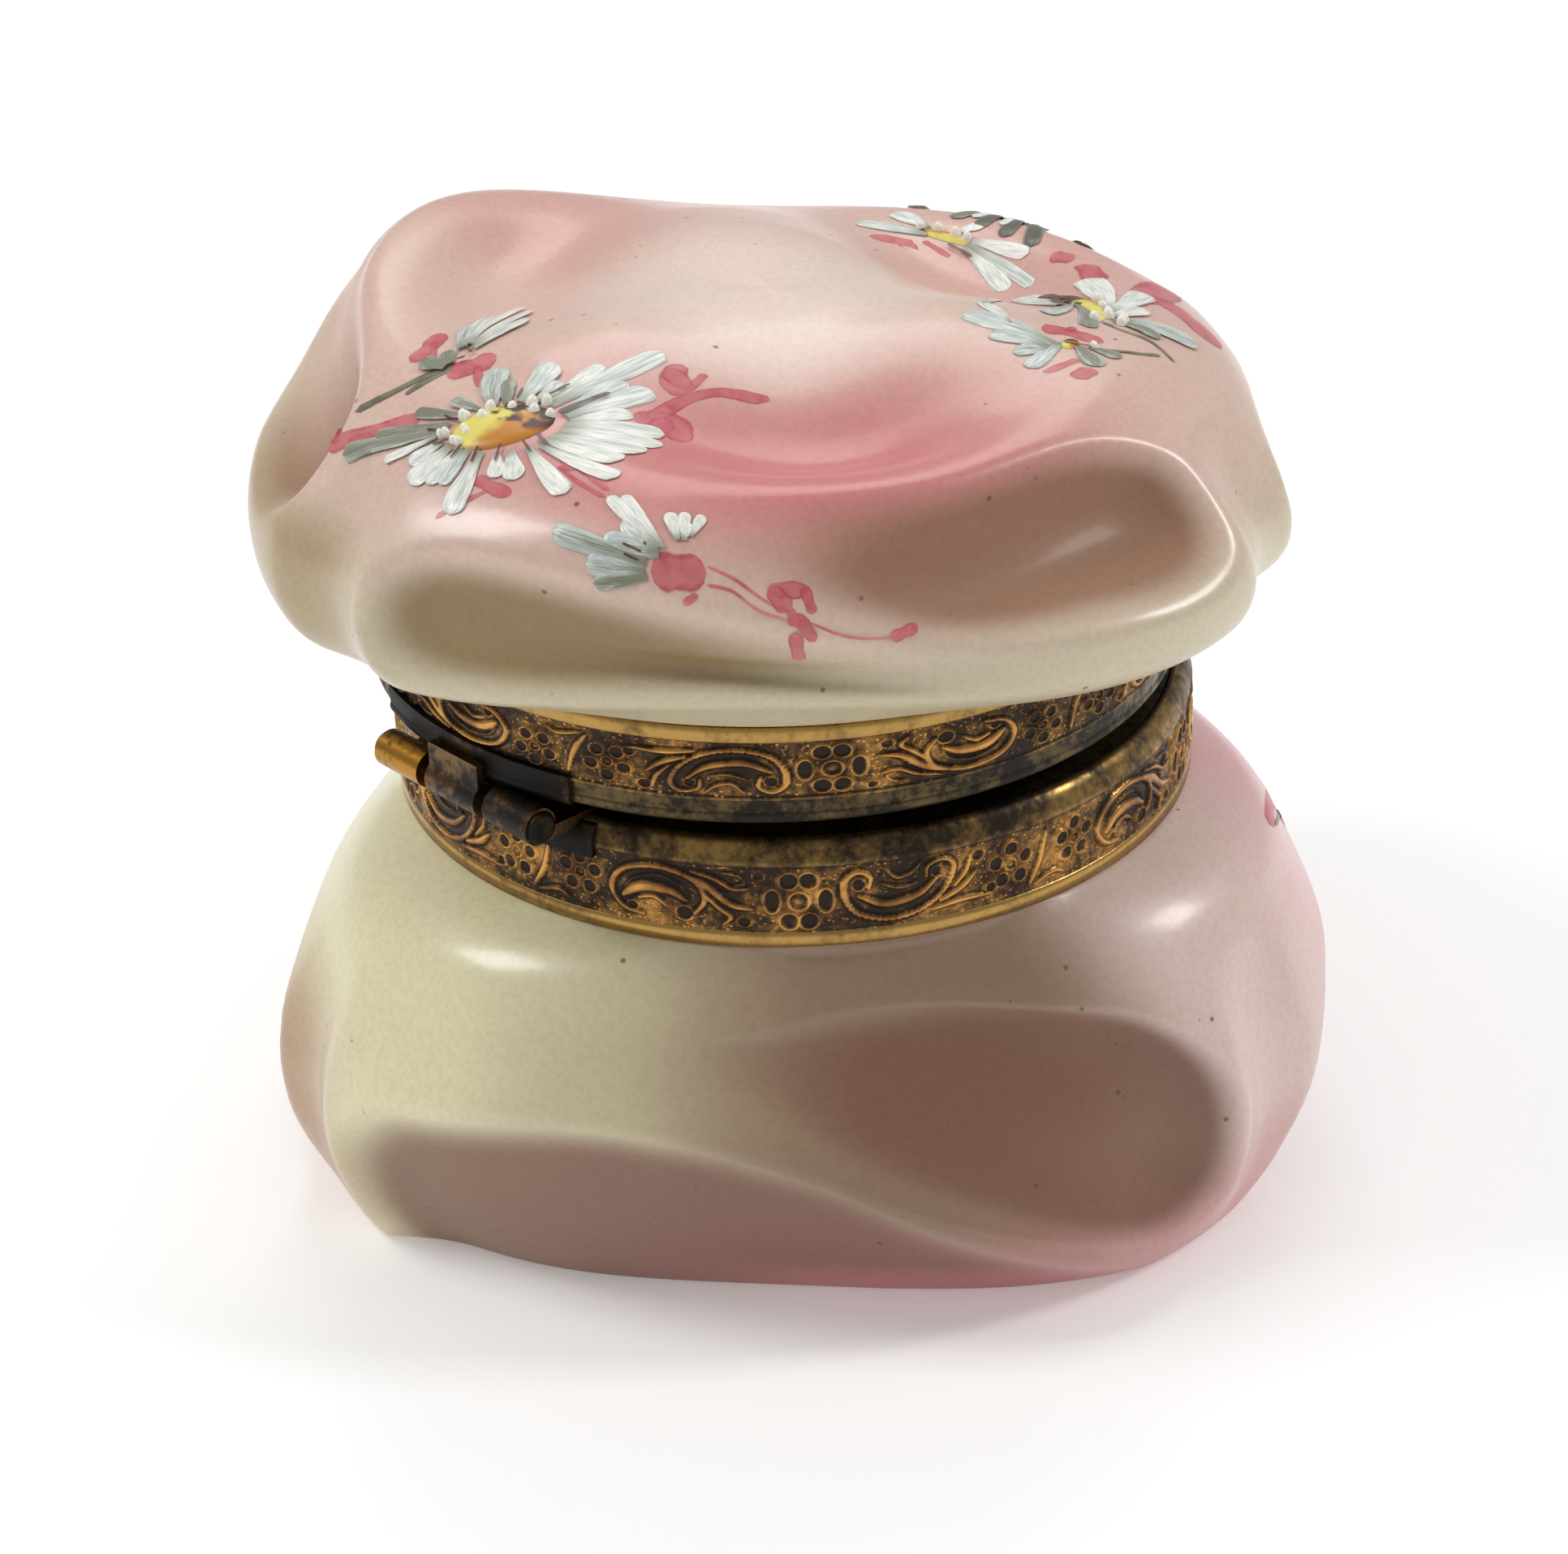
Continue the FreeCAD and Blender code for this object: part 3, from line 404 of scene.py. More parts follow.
backDaisies = {                      # daisies at the lid's back right
    "origin": (140, 29), "heart": [(2.6, 3.3, 2.6, 0.5, 0), (1.2, -6.2, 3, 1.8, 20)],
    "petals": [
        (0.4, 3.4, -8.4, 4.6, 0.6, 0.35), (0.4, 3.8, -6.4, 5.8, 0.75, 0.15), (0.6, 3, -5.4, 2.4, 0.8, 0),
        (2, 2.8, 0.6, 0.8, 0.7, 0.05), (4.2, 3, 8.4, 1.4, 0.8, 0.1), (3.6, 3.6, 9.4, 4.2, 0.8, 0.4),
        (-0.6, -4.8, -5, 1.8, 0.8, 1.25), (0.2, -4.6, -2, 1.8, 0.75, 1.3), (1.6, -4.4, 0.8, 1.6, 0.7, 1.3),
        (2.6, -4.4, 3.6, 1, 0.75, 1.1), (0.6, -4.6, -0.8, 0.4, 0.5, 0), (2.2, -4.6, 2.2, 0.2, 0.5, 0),
        (-1.6, -5.6, -8.8, -2, 1.1, 0.45), (-1.8, -6.4, -9.6, -6, 1.1, 0.3), (-1.4, -7.4, -6.6, -11, 1.1, 0),
        (0.2, -8, -1.6, -13, 1.1, 0.1), (3.6, -5.2, 9.4, -1.6, 1.1, 0.2), (3.8, -6.2, 10, -6.6, 1.1, 0),
        (2.4, -8, 5, -12.4, 1.1, 0.25)],
    "stems": [([(-4, -1.8), (1, -1.9), (7, -2)], 0.2)],
    "ticks": [([(-1, 4.4), (1.6, 4.1)], 0.14)],
    "pink": [
        ([(1.4, 6.2), (3, 6.2), (4.6, 5.2)], 0.7), ([(4, 5), (7, 6)], 0.6), ([(0.6, 5), (3.6, 4.4)], 0.25),
        ([(-9.8, 1), (-7.4, 1.8)], 0.7), ([(-5.8, -4.6), (-3, -6)], 1.2), ([(9, -5), (12, -7)], 1)],
    "dots": [(0.6, 3), (1.8, 2.9), (3.4, 2.9), (4.8, 3.1)],
}
bowlSprig = {                        # pink stems and a leaf at the bowl's far right
    "origin": (85, 20), "heart": [],
    "petals": [(1, 5.4, 6.8, 1.4, 0.9, 0.8)],
    "stems": [([(-4, 7.4), (1, 5.4), (5, 2)], 0.18)],
    "pink": [([(-5, 8), (0, 7.4), (6, 4.4)], 0.55), ([(-1, 7), (3, 3.4)], 0.7), ([(2, 6.6), (8, 5.8)], 0.5)],
    "ticks": [], "dots": [],
}


# Brush strokes as thin sheets that lie on the glass: a petal's half width grows from its base to a
# round tip; a leaf's is even, with round ends and a slight waver. The paint is thickest on its middle.
def strokeMesh(name, body, place, strokes, paintwork, shape):
    rows, columns = paintwork["rows"], paintwork["columns"]
    u = np.linspace(0, 1, rows)[:, None]
    v = np.linspace(-1, 1, columns)[None, :]
    points, faces, marks = [], [], {"strokeAlong": [], "strokeAcross": [], "tone": []}
    for order, (line, half, tone) in enumerate(strokes):
        middle = alongLine(line, rows)
        run = np.gradient(middle, axis=0)
        run /= np.maximum(np.hypot(run[:, :1], run[:, 1:]), 1e-9)
        length = np.hypot(*np.diff(middle, axis=0).T).sum()
        tip = min(0.45, half / length) if shape == "petal" else min(0.5, 1.2 * half / length)
        close = roundEnd(u - (1 - tip), tip)
        if shape == "petal":
            width = half * (0.42 + 0.58 * smoothStep(0, 0.75, u)) * close
        else:
            width = half * close * roundEnd(tip - u, tip) * (1 + 0.10 * np.sin(9 * u + 2.3 * order))
        x = middle[:, :1] - run[:, 1:] * width * v
        y = middle[:, 1:] + run[:, :1] * width * v
        lift = paintwork["groundLift"] + paintwork["layer"] * order + paintwork["body"] * (1 - v ** 4) * close
        points.append(place(x, y, lift))
        faces.append(quadGrid(rows, columns, start=order * rows * columns)[:, ::-1])
        for mark, values in (("strokeAlong", u), ("strokeAcross", v), ("tone", tone)):
            marks[mark].append(np.broadcast_to(values, (rows, columns)))
    return makePiece(name, np.stack(points), faces, body,
                     {mark: np.stack(values) for mark, values in marks.items()})


# Low domes on ellipses: lift = rise * sqrt(1 - rho^2), with a single point at the top.
def domes(name, body, place, spots, rise):
    rho = np.array([1, 0.92, 0.75, 0.5, 0.25])[:, None]
    turn = np.radians(np.arange(0, 360, 15))[None, :]
    count, rows, columns = len(spots), rho.shape[0], turn.shape[1]
    ground = 0.02
    rings, tops, faces = [], [], []
    for k, (x, y, long, short, tilt) in enumerate(spots):
        c, s = math.cos(math.radians(tilt)), math.sin(math.radians(tilt))
        a, b = long * rho * np.cos(turn), short * rho * np.sin(turn)
        peak = rise * min(short, 1)
        rings.append(place(x + a * c - b * s, y + a * s + b * c, ground + peak * np.sqrt(1 - rho ** 2)))
        tops.append(place(np.array([x]), np.array([y]), ground + peak))
        last = (k * rows + rows - 1) * columns + np.arange(columns)
        faces += [quadGrid(rows, columns, True, start=k * rows * columns),
                  np.stack([last, np.roll(last, -1), np.full(columns, count * rows * columns + k)], -1)]
    points = np.concatenate([np.stack(rings).reshape(-1, 3), np.concatenate(tops).reshape(-1, 3)])
    spread = {"heartLong": rho * np.cos(turn), "heartShort": rho * np.sin(turn)}
    return makePiece(name, points, faces, body,
                     {mark: np.concatenate([np.tile(v.ravel(), count), np.zeros(count)])
                      for mark, v in spread.items()})


paintedPieces = {"petals": [], "stems": [], "ticks": [], "pink": [], "hearts": [], "dots": []}
onLid, onBowl = (lidPoint, lidGlass), (bowlPoint, bowlGlass)
for label, group, glassware, body in (
        ("daisy", daisy, onLid, "lid"), ("halfDaisy", halfDaisy, onLid, "lid"),
        ("farDaisies", farDaisies, onLid, "lid"), ("backDaisies", backDaisies, onLid, "lid"),
        ("sprig", bowlSprig, onBowl, "base")):
    place = partial(onGlass, *glassware, group["origin"])
    petals = [([(x0, y0), (x1, y1)], half, tone) for x0, y0, x1, y1, half, tone in group["petals"]]
    paintedPieces["petals"].append(strokeMesh(label + "Petals", body, place, petals, petalPaint, "petal"))
    pink = [(line, half, 0) for line, half in group["pink"]]
    paintedPieces["pink"].append(strokeMesh(label + "Pink", body, place, pink, pinkPaint, "leaf"))
    above = dict(pinkPaint, groundLift=0.05 + petalPaint["layer"] * len(petals) + petalPaint["body"])
    for kind, paintwork in (("stems", dict(petalPaint, body=0.03)), ("ticks", above)):
        if group[kind]:
            strokes = [(line, half, 1) for line, half in group[kind]]
            paintedPieces[kind].append(
                strokeMesh(label + kind.title(), body, place, strokes, paintwork, "leaf"))
    if group["heart"]:
        paintedPieces["hearts"].append(domes(label + "Heart", body, place, group["heart"], 0.42))
    if group["dots"]:
        sizes = 0.30 + 0.12 * np.random.default_rng(7).random(len(group["dots"]))
        spots = [(x, y, size * 1.15, size, 0) for (x, y), size in zip(group["dots"], sizes)]
        paintedPieces["dots"].append(domes(label + "Dots", body, place, spots, 1.9))
print("flowers:", sum(len(group) for group in paintedPieces.values()), "pieces")


# Embossed bands of the two collars, from one strip of stamped ornament.
embossing = {
    "unit": 72, "radius": 31, "height": 5.4,        # the strip repeats every 72 degrees
    "columns": 280, "rows": 46, "lift": 0.3,
    "ridges": [                      # raised lines: points (mm along, mm up), thin, thick, height
        ([(-7.6, 1.3), (-6.9, 2.5), (-7.7, 4.1), (-10.3, 4.9), (-13, 4.3), (-14.1, 2.6), (-13.2, 1.1),
          (-11.6, 0.7)], 0.18, 0.34, 1),
        ([(-8, 2.3), (-8.7, 3.5), (-10.4, 4.1), (-12.3, 3.6), (-13.1, 2.6)], 0.1, 0.16, 0.7),
        ([(-13.2, 2), (-11.7, 3), (-9.6, 3), (-8.2, 2.3)], 0.16, 0.55, 1),
        ([(-12, 2), (-10.8, 2.3), (-9.7, 1.6)], 0.12, 0.26, 0.8),
        ([(-8.4, 4.6), (-6.7, 3.7), (-5, 2.3), (-3.3, 1.9)], 0.1, 0.42, 1),
        ([(-8, 4.9), (-6.2, 4.4), (-4.8, 3.6), (-3.6, 3.7)], 0.1, 0.24, 0.9),
        ([(-7.2, 3.4), (-6, 2.1), (-5, 1.2), (-5.6, 0.5)], 0.1, 0.28, 0.9),
        ([(-5.6, 4.9), (-4.4, 4.7), (-3.9, 4.1), (-4.6, 3.9)], 0.1, 0.16, 0.7),
        ([(5.1, 3.3), (5.2, 4.3), (4.3, 4.8), (3.4, 4.2), (3.3, 2.9), (4.3, 1.3), (6.6, 0.6), (9, 1),
          (10.8, 2.3), (11.6, 4), (10.9, 4.9), (9.6, 4.6), (9.4, 3.7)], 0.16, 0.34, 1),
        ([(4.3, 2.8), (6.3, 1.9), (8.8, 2.3), (10.4, 3.6)], 0.12, 0.42, 1),
        ([(6.3, 4.9), (7.2, 4), (8.4, 4.3), (9, 5)], 0.1, 0.22, 0.8),
        ([(6, 3.6), (7.4, 3.1), (8.8, 3.3)], 0.1, 0.2, 0.7),
        ([(9.8, 0.8), (12.2, 1.1), (14.4, 1)], 0.12, 0.32, 0.9),
        ([(10.4, 1.4), (12.2, 2.2), (13.3, 3.2)], 0.12, 0.34, 1),
        ([(11.6, 2.4), (12.6, 3.6), (12.9, 4.8)], 0.1, 0.26, 0.9),
        ([(17.9, 0.6), (18.9, 2.4), (19.5, 4.8)], 0.12, 0.3, 0.9),
        ([(18.4, 0.5), (20.2, 1), (21.2, 0.6)], 0.12, 0.26, 0.8)],
    "dishes": [                      # petals: middle, half sizes, tilt in degrees
        (-0.72, 4.35, 0.85, 0.8, 20), (0.72, 4.35, 0.85, 0.8, -20), (-0.72, 0.95, 0.85, 0.8, -20),
        (0.72, 0.95, 0.85, 0.8, 20), (-1.95, 2.65, 0.72, 1.18, 0), (1.95, 2.65, 0.72, 1.18, 0),
        (-8.4, 1.25, 0.78, 0.72, 0), (-12.4, 1.25, 0.55, 0.5, 0), (-4, 0.85, 0.62, 0.5, 0),
        (-2.9, 4.75, 0.5, 0.42, 0), (-5.4, 3, 0.35, 0.35, 0), (4.35, 3.75, 0.62, 0.62, 0),
        (10.2, 4, 0.5, 0.52, 0), (13.5, 4.55, 0.62, 0.55, 0), (14.6, 1.5, 0.55, 0.5, 0)],
    "blossoms": [                    # middle, reach of five petals, petal size
        (16.3, 2.9, 1.35, 0.68), (-16.7, 3.1, 1.3, 0.66)],
    "hubs": [(0, 2.65, 0.92), (16.3, 2.9, 0.55), (-16.7, 3.1, 0.52)],
}


# Height and darkness over one repeat: round-backed ridges whose width swells, and rimmed petals.
def embossedUnit():
    e = embossing
    span = math.radians(e["unit"]) * e["radius"]
    along = (np.arange(e["columns"]) / e["columns"] - 0.5)[None, :] * span
    upward = np.linspace(0, e["height"], e["rows"])[:, None]
    height = np.zeros((e["rows"], e["columns"]))
    dark = np.zeros_like(height)

    def wrap(distance):
        return (distance + span / 2) % span - span / 2

    petals = list(e["dishes"])
    for u, v, reach, size in e["blossoms"]:
        petals += [(u + reach * math.cos(a), v + reach * math.sin(a), size, size, 0)
                   for a in np.radians(np.arange(5) * 72 + 90)]
    for u, v, halfU, halfV, tilt in petals:
        x, y = wrap(along - u), upward - v
        c, s = math.cos(math.radians(tilt)), math.sin(math.radians(tilt))
        q = np.sqrt(((x * c + y * s) / halfU) ** 2 + ((y * c - x * s) / halfV) ** 2)
        rim = np.exp(-((q - 0.88) / 0.17) ** 2)
        height = np.maximum(height, 0.85 * rim + 0.25 * np.clip(1 - q * q * 1.6, 0, 1))
        dark = np.maximum(dark, smoothStep(0.82, 0.6, q) * 0.95)
    samples = 60
    share = np.linspace(0, 1, samples)
    for points, thin, thick, lift in e["ridges"]:
        line = alongLine(points, samples)
        width = thin + (thick - thin) * np.sin(np.pi * share ** 0.8) ** 0.8
        near = (np.hypot(wrap(along[..., None] - line[:, 0]), upward[..., None] - line[:, 1]) / width).min(-1)
        height = np.maximum(height, lift * np.sqrt(np.clip(1 - near ** 2, 0, 1)))
        dark = np.maximum(dark, 0.75 * smoothStep(2.3, 1.2, near) * (near > 0.9))
        dark = np.where(near < 0.8, dark * 0.25, dark)
    for u, v, size in e["hubs"]:
        q = np.hypot(wrap(along - u), upward - v) / size
        height = np.maximum(height, np.exp(-((q - 0.85) / 0.18) ** 2) + 0.7 * np.clip(1 - q * q * 3, 0, 1))
        dark = np.where(q < 0.7, 0.55 * smoothStep(0.3, 0.5, q), dark)
    fade = 0.25                      # the pattern dies out this far from the strip's edges, mm
    edge = smoothStep(0, fade, upward) * smoothStep(e["height"], e["height"] - fade, upward)
    return height * edge, np.clip(dark * edge, 0, 1)


# Each collar: (radius, height) pairs below the strip, the strip's radius, foot and top, and the pairs
# above it. The upper one has the strip turned upside down.
lowerCollar = {
    "body": "base", "middle": 0, "turned": False, "start": 0,
    "before": [(30.5, 31.5), (31.08, 31.5), (31.16, 31.56), (31.16, 32.55), (31.05, 32.68)],
    "strip": (30.98, 32.75, 38.1),
    "after": [(31, 38.2), (31.06, 38.35), (30.98, 38.55), (30.82, 39), (30.6, 39.5), (30.3, 39.92),
              (29.98, 40.1), (29.7, 40.05), (29.52, 39.86), (29.5, 39.8), (29.72, 39.8), (29.8, 39.4),
              (30.5, 37.9)],
}
upperCollar = {
    "body": "lid", "middle": lidMiddle, "turned": True, "start": 7.5,
    "before": [(30.7, 44.5), (31.2, 44.5), (31.28, 44.56), (31.24, 44.72)],
    "strip": (31.16, 44.8, 49.1),
    "after": [(31.24, 49.18), (31.32, 49.3), (31.32, 50.3), (31.24, 50.4), (30.7, 50.4)],
}


# Ring turned from a closed profile, with the strip's rows pushed out by the pattern's height.
def bandPiece(name, collar, unit):
    repeats = round(360 / embossing["unit"])
    height, dark = (np.tile(part[::-1, ::-1] if collar["turned"] else part, (1, repeats)) for part in unit)
    rows, columns = height.shape
    radius, low, high = collar["strip"]
    first = len(collar["before"])
    path = np.array(collar["before"] + [(radius, z) for z in np.linspace(low, high, rows)] + collar["after"])
    marks = {mark: np.zeros((len(path), columns)) for mark in ("relief", "shade", "zone")}
    for mark, values in (("relief", height), ("shade", dark), ("zone", 1)):
        marks[mark][first:first + rows] = values
    azimuth = collar["start"] + (np.arange(columns) / columns - 0.1) * 360
    points = ringAt(path[:, :1] + marks["relief"] * embossing["lift"], path[:, 1:], collar["middle"], azimuth)
    firstRow = np.arange(columns)
    lastRow = (len(path) - 1) * columns + firstRow
    closing = np.stack([lastRow, np.roll(lastRow, -1), np.roll(firstRow, -1), firstRow], -1)
    return makePiece(name, points, [quadGrid(len(path), columns, True), closing], collar["body"],
                     marks)


ornament = embossedUnit()
lowerBand = bandPiece("lowerBand", lowerCollar, ornament)
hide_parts("base_collar_band")
upperBand = bandPiece("upperBand", upperCollar, ornament)
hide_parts("lid_collar_band")
print("bands:", len(lowerBand.data.polygons), "and", len(upperBand.data.polygons), "faces")


# A socket that does sums: an expression on it adds the Math nodes it needs.
class Wire:
    def __init__(self, sheet, socket):
        self.sheet, self.socket = sheet, socket

    def work(self, operation, first, second):
        return self.sheet.add("ShaderNodeMath", {"operation": operation}, {0: first, 1: second})

    def __add__(self, other): return self.work("ADD", self, other)
    def __radd__(self, other): return self.work("ADD", other, self)
    def __sub__(self, other): return self.work("SUBTRACT", self, other)
    def __rsub__(self, other): return self.work("SUBTRACT", other, self)
    def __mul__(self, other): return self.work("MULTIPLY", self, other)
    def __rmul__(self, other): return self.work("MULTIPLY", other, self)
    def __abs__(self): return self.sheet.add("ShaderNodeMath", {"operation": "ABSOLUTE"}, {0: self})


# A material's node sheet, with one way to add any node.
class FinishSheet:
    def __init__(self, name):
        self.material = bpy.data.materials.new(name)
        self.material.use_nodes = True
        self.tree = self.material.node_tree
        self.tree.nodes.clear()

    def add(self, kind, settings=None, values=None, output=0):
        node = self.tree.nodes.new(kind)
        count = len(self.tree.nodes)
        node.location = (-180 * (count % 12), -220 * (count // 12))
        for key, value in (settings or {}).items():
            setattr(node, key, value)
        for key, value in (values or {}).items():
            if isinstance(value, Wire):
                self.tree.links.new(value.socket, node.inputs[key])
            else:
                node.inputs[key].default_value = value
        return Wire(self, node.outputs[output])

    def place(self):
        return self.add("ShaderNodeTexCoord", output="Object")

    def axis(self, where, letter):
        return self.add("ShaderNodeSeparateXYZ", None, {0: where}, output=letter)

    def mark(self, name):
        return self.add("ShaderNodeAttribute", {"attribute_name": name}, output="Fac")

    def noise(self, scale, detail=3, rough=0.5, where=None):
        return self.add("ShaderNodeTexNoise", None, {"Vector": where or self.place(), "Scale": scale,
                                                     "Detail": detail, "Roughness": rough})

    def ease(self, value, low, high, start=0, end=1):
        return self.add("ShaderNodeMapRange", {"interpolation_type": "SMOOTHSTEP"},
                        {"Value": value, "From Min": low, "From Max": high, "To Min": start, "To Max": end})

    def scoop(self, kind, low, high):
        return self.ease(self.mark(kind + "Scoop"), low, high)

    # Eases in from a to b and out again from c to d.
    def window(self, value, a, b, c, d):
        return self.ease(value, a, b) * self.ease(value, d, c)

    def blend(self, amount, under, over, how="MIX"):
        return self.add("ShaderNodeMix", {"data_type": "RGBA", "blend_type": how},
                        {0: amount, 6: under, 7: over}, output=2)

    def bump(self, height, distance, strength):
        values = {"Height": height, "Distance": distance, "Strength": strength}
        return self.add("ShaderNodeBump", None, values)

    # Shader with these sockets, named in camelCase, and the material it makes.
    def finish(self, **values):
        sockets = {}
        for key, value in values.items():
            label = "".join(" " + c if c.isupper() else c for c in key)
            sockets[label[0].upper() + label[1:]] = value
        shader = self.add("ShaderNodeBsdfPrincipled", None, sockets)
        out = self.tree.nodes.new("ShaderNodeOutputMaterial")
        self.tree.links.new(shader.socket, out.inputs["Surface"])
        return self.material


def wear(piece, material):
    piece.data.materials.clear()
    piece.data.materials.append(material)


sharedTones = {"inside": paint(236, 230, 216), "grain": paint(150, 130, 110), "speck": paint(70, 55, 45)}
bowlTones = {
    "left": paint(226, 219, 180), "centre": paint(146, 118, 94), "right": paint(222, 196, 186),
    # highScoop and lowScoop tones: the scoops' own brown-mauve, dark enough to carry painted shade of the
    # hollows as well
    "farLeft": paint(184, 146, 118), "farRight": paint(222, 176, 176), "highScoop": paint(126, 86, 64),
    "lowScoop": paint(132, 92, 78), "foot": paint(196, 126, 128), **sharedTones,
}
lidTones = {
    "rim": paint(206, 196, 166), "blush": paint(219, 190, 174), "rose": paint(204, 120, 119),
    # highScoop and lowScoop tones: the scoops' own brown, dark enough to carry painted shade of the hollows
    # as well
    "crown": paint(230, 208, 194), "highScoop": paint(142, 98, 66), "lowScoop": paint(142, 116, 74),
    "shoulder": paint(170, 146, 106), **sharedTones,
}


# Washes of colour on the bowl: masks by azimuth, height and scoop, laid one over another.
def bowlWashes(s, swayed, height):
    return "left", [
        (s.ease(swayed, -40, 6), "centre"), (s.ease(swayed, 26, 52), "right"),
        (s.ease(height, 13, 6) * s.ease(swayed, -48, -20) * 0.5, "foot"),
        (s.window(swayed, -160, -115, -70, -50) * s.ease(height, 26, 15), "farLeft"),
        (s.ease(swayed, 60, 85), "farRight"), (s.ease(swayed, 118, 162), "left"),
        # scoop tones laid by depth: the scoops' own tint plus painted shade, strongest where deepest
        (s.scoop("high", 0.05, 2.2) * 0.92, "highScoop"), (s.scoop("low", 0.1, 3) * 0.9, "lowScoop"),
        (s.ease(height, 6, 1) * s.ease(swayed, -30, 10) * 0.8, "foot")]


# Washes on the lid: by azimuth, distance along and scoop. The rose is strongest in three valleys.
def lidWashes(s, swayed, azimuth):
    along = s.mark("along") + (s.noise(60, 2) - 0.5) * 3
    rose = 0.12
    for middle, reach, full, weight in ((6, 70, 12, 0.88), (-136, 36, 6, 0.34),
                                        (122, 50, 8, 0.30)):
        rose = rose + weight * s.ease(abs(swayed - middle), reach, full)
    shoulder = s.window(swayed, -98, -80, -56, -42) * s.window(along, 2, 6, 13, 19)
    front = s.ease(azimuth, -100, -60, 0.12, 0.88)
    return "rim", [
        (s.ease(along, 9, 20), "blush"), (s.window(along, 18, 29, 35, 51) * rose, "rose"),
        (s.ease(along, 40, 52), "crown"), (shoulder * 0.75, "shoulder"),
        # scoop tones laid by depth: the scoops' own tint plus painted shade, strongest where deepest
        (s.scoop("high", 0.05, 2.2) * front, "highScoop"), (s.scoop("low", 0.3, 2.4) * 0.92, "lowScoop")]


# Satin opal glass: the washes, finely grained and specked. The scoops are darker: partly the glass's own
# brown-mauve, partly painted shade that deepens with the scoop's depth.
def glassFinish(name, tones, isLid):
    s = FinishSheet(name)
    where = s.place()
    turn = s.add("ShaderNodeMath", {"operation": "ARCTAN2"},
                 {0: s.axis(where, "Y") - (lidMiddle * mm if isLid else 0), 1: s.axis(where, "X")})
    azimuth = s.add("ShaderNodeMath", {"operation": "WRAP"},
                    {0: turn * math.degrees(1) - swirlTurn, 1: 180, 2: -180})
    swayed = azimuth + (s.noise(45, 2) - 0.5) * 26
    base, washes = (lidWashes(s, swayed, azimuth) if isLid
                    else bowlWashes(s, swayed, s.axis(where, "Z") * 1000))
    colour = tones[base]
    for mask, tone in washes + [(s.mark("inside"), "inside")]:
        colour = s.blend(mask, colour, tones[tone])
    grain = s.ease(s.noise(1900, 2), 0.35, 0.7)
    colour = s.blend(grain * 0.10, colour, tones["grain"], "MULTIPLY")
    specks = s.add("ShaderNodeTexVoronoi", None, {"Vector": where, "Scale": 560, "Randomness": 1})
    rare = s.ease(s.noise(330, 0), 0.68, 0.72)
    colour = s.blend(s.ease(specks, 0.16, 0.09) * rare * 0.75, colour, tones["speck"])
    hollow = s.ease(s.mark("highScoop") + s.mark("lowScoop"), 0.2, 2.5) * 3.5
    return s.finish(baseColor=colour, roughness=0.30 + 0.1 * s.noise(300, 2) + 0.06 * hollow,
                    subsurfaceWeight=0.10, subsurfaceRadius=(0.9, 0.6, 0.5), subsurfaceScale=0.002,
                    coatWeight=0.30 - 0.06 * hollow, coatRoughness=0.16,
                    normal=s.bump(s.noise(650, 3), 0.00006, 0.35))


wear(bowlPiece, glassFinish("opalBowl", bowlTones, False))
wear(lidPiece, glassFinish("opalLid", lidTones, True))


# White enamel petals: grey-green at their base and by tone, streaked along, soft at the edges.
def petalFinish():
    s = FinishSheet("petalEnamel")
    u, v, tone = s.mark("strokeAlong"), s.mark("strokeAcross"), s.mark("tone")
    streakPlace = s.add("ShaderNodeCombineXYZ", None, {0: u * 1.6, 1: v * 2.6 + tone * 37, 2: tone * 11})
    streak = s.noise(2.2, 2, 0.5, streakPlace)
    across = abs(v)
    colour = s.blend(s.ease(streak + tone * 0.45, 0.42, 0.78), paint(243, 242, 233), paint(186, 196, 190))
    green = s.ease(tone + (streak - 0.5) * 0.9 - across * 0.35 - u * 0.25, 0.22, 0.75)
    root = s.ease(u + (streak - 0.5) * 0.4, 0.36, 0.04)
    for mask, shade in ((green, paint(124, 126, 104)),
                        (s.ease(tone, 1.05, 1.25) * s.ease(across, 0.95, 0.6), paint(86, 84, 72)),
                        (root * 0.75, paint(128, 130, 108))):
        colour = s.blend(mask, colour, shade)
    alpha = s.ease(across + (streak - 0.5) * 0.25, 1, 0.80) * s.window(u, 0, 0.05, 0.97, 1)
    return s.finish(baseColor=colour, roughness=0.32, alpha=alpha, normal=s.bump(streak, 0.00012, 0.6),
                    coatWeight=0.2)


# Thin wash of colour: uneven, with a darker edge where the paint gathered.
def washFinish(name, light, dark, strength):
    s = FinishSheet(name)
    where = s.place()
    across = abs(s.mark("strokeAcross"))
    cloud = s.noise(520, 3, 0.6, where)
    fine = s.noise(1500, 2, 0.5, where)
    colour = s.blend(s.ease(cloud + s.ease(across, 0.55, 0.95) * 0.25, 0.40, 0.72), light, dark)
    body = s.ease(cloud, 0.2, 0.75, strength * 0.72, strength)
    alpha = body * s.ease(across + (fine - 0.5) * 0.35, 1.02, 0.86)
    return s.finish(baseColor=colour, roughness=0.36, alpha=alpha, coatWeight=0.2)


# Daisy heart: lemon at one end, orange and dark brown at the other.
def heartFinish():
    s = FinishSheet("daisyHeart")
    long, short = s.mark("heartLong"), s.mark("heartShort")
    cloud = s.noise(620, 2)
    ripe = s.ease(long - short * 0.9 + (cloud - 0.5) * 0.8, -0.25, 0.35)
    colour = s.blend(ripe, paint(226, 214, 104), paint(196, 128, 40))
    spot = s.ease(long + short * 0.35 + (cloud - 0.5) * 2.2, 0.25, 0.55) * s.ease(short, -0.75, -0.35)
    colour = s.blend(spot, colour, paint(66, 34, 20))
    return s.finish(baseColor=colour, roughness=0.38, normal=s.bump(cloud, 0.0001, 0.5))


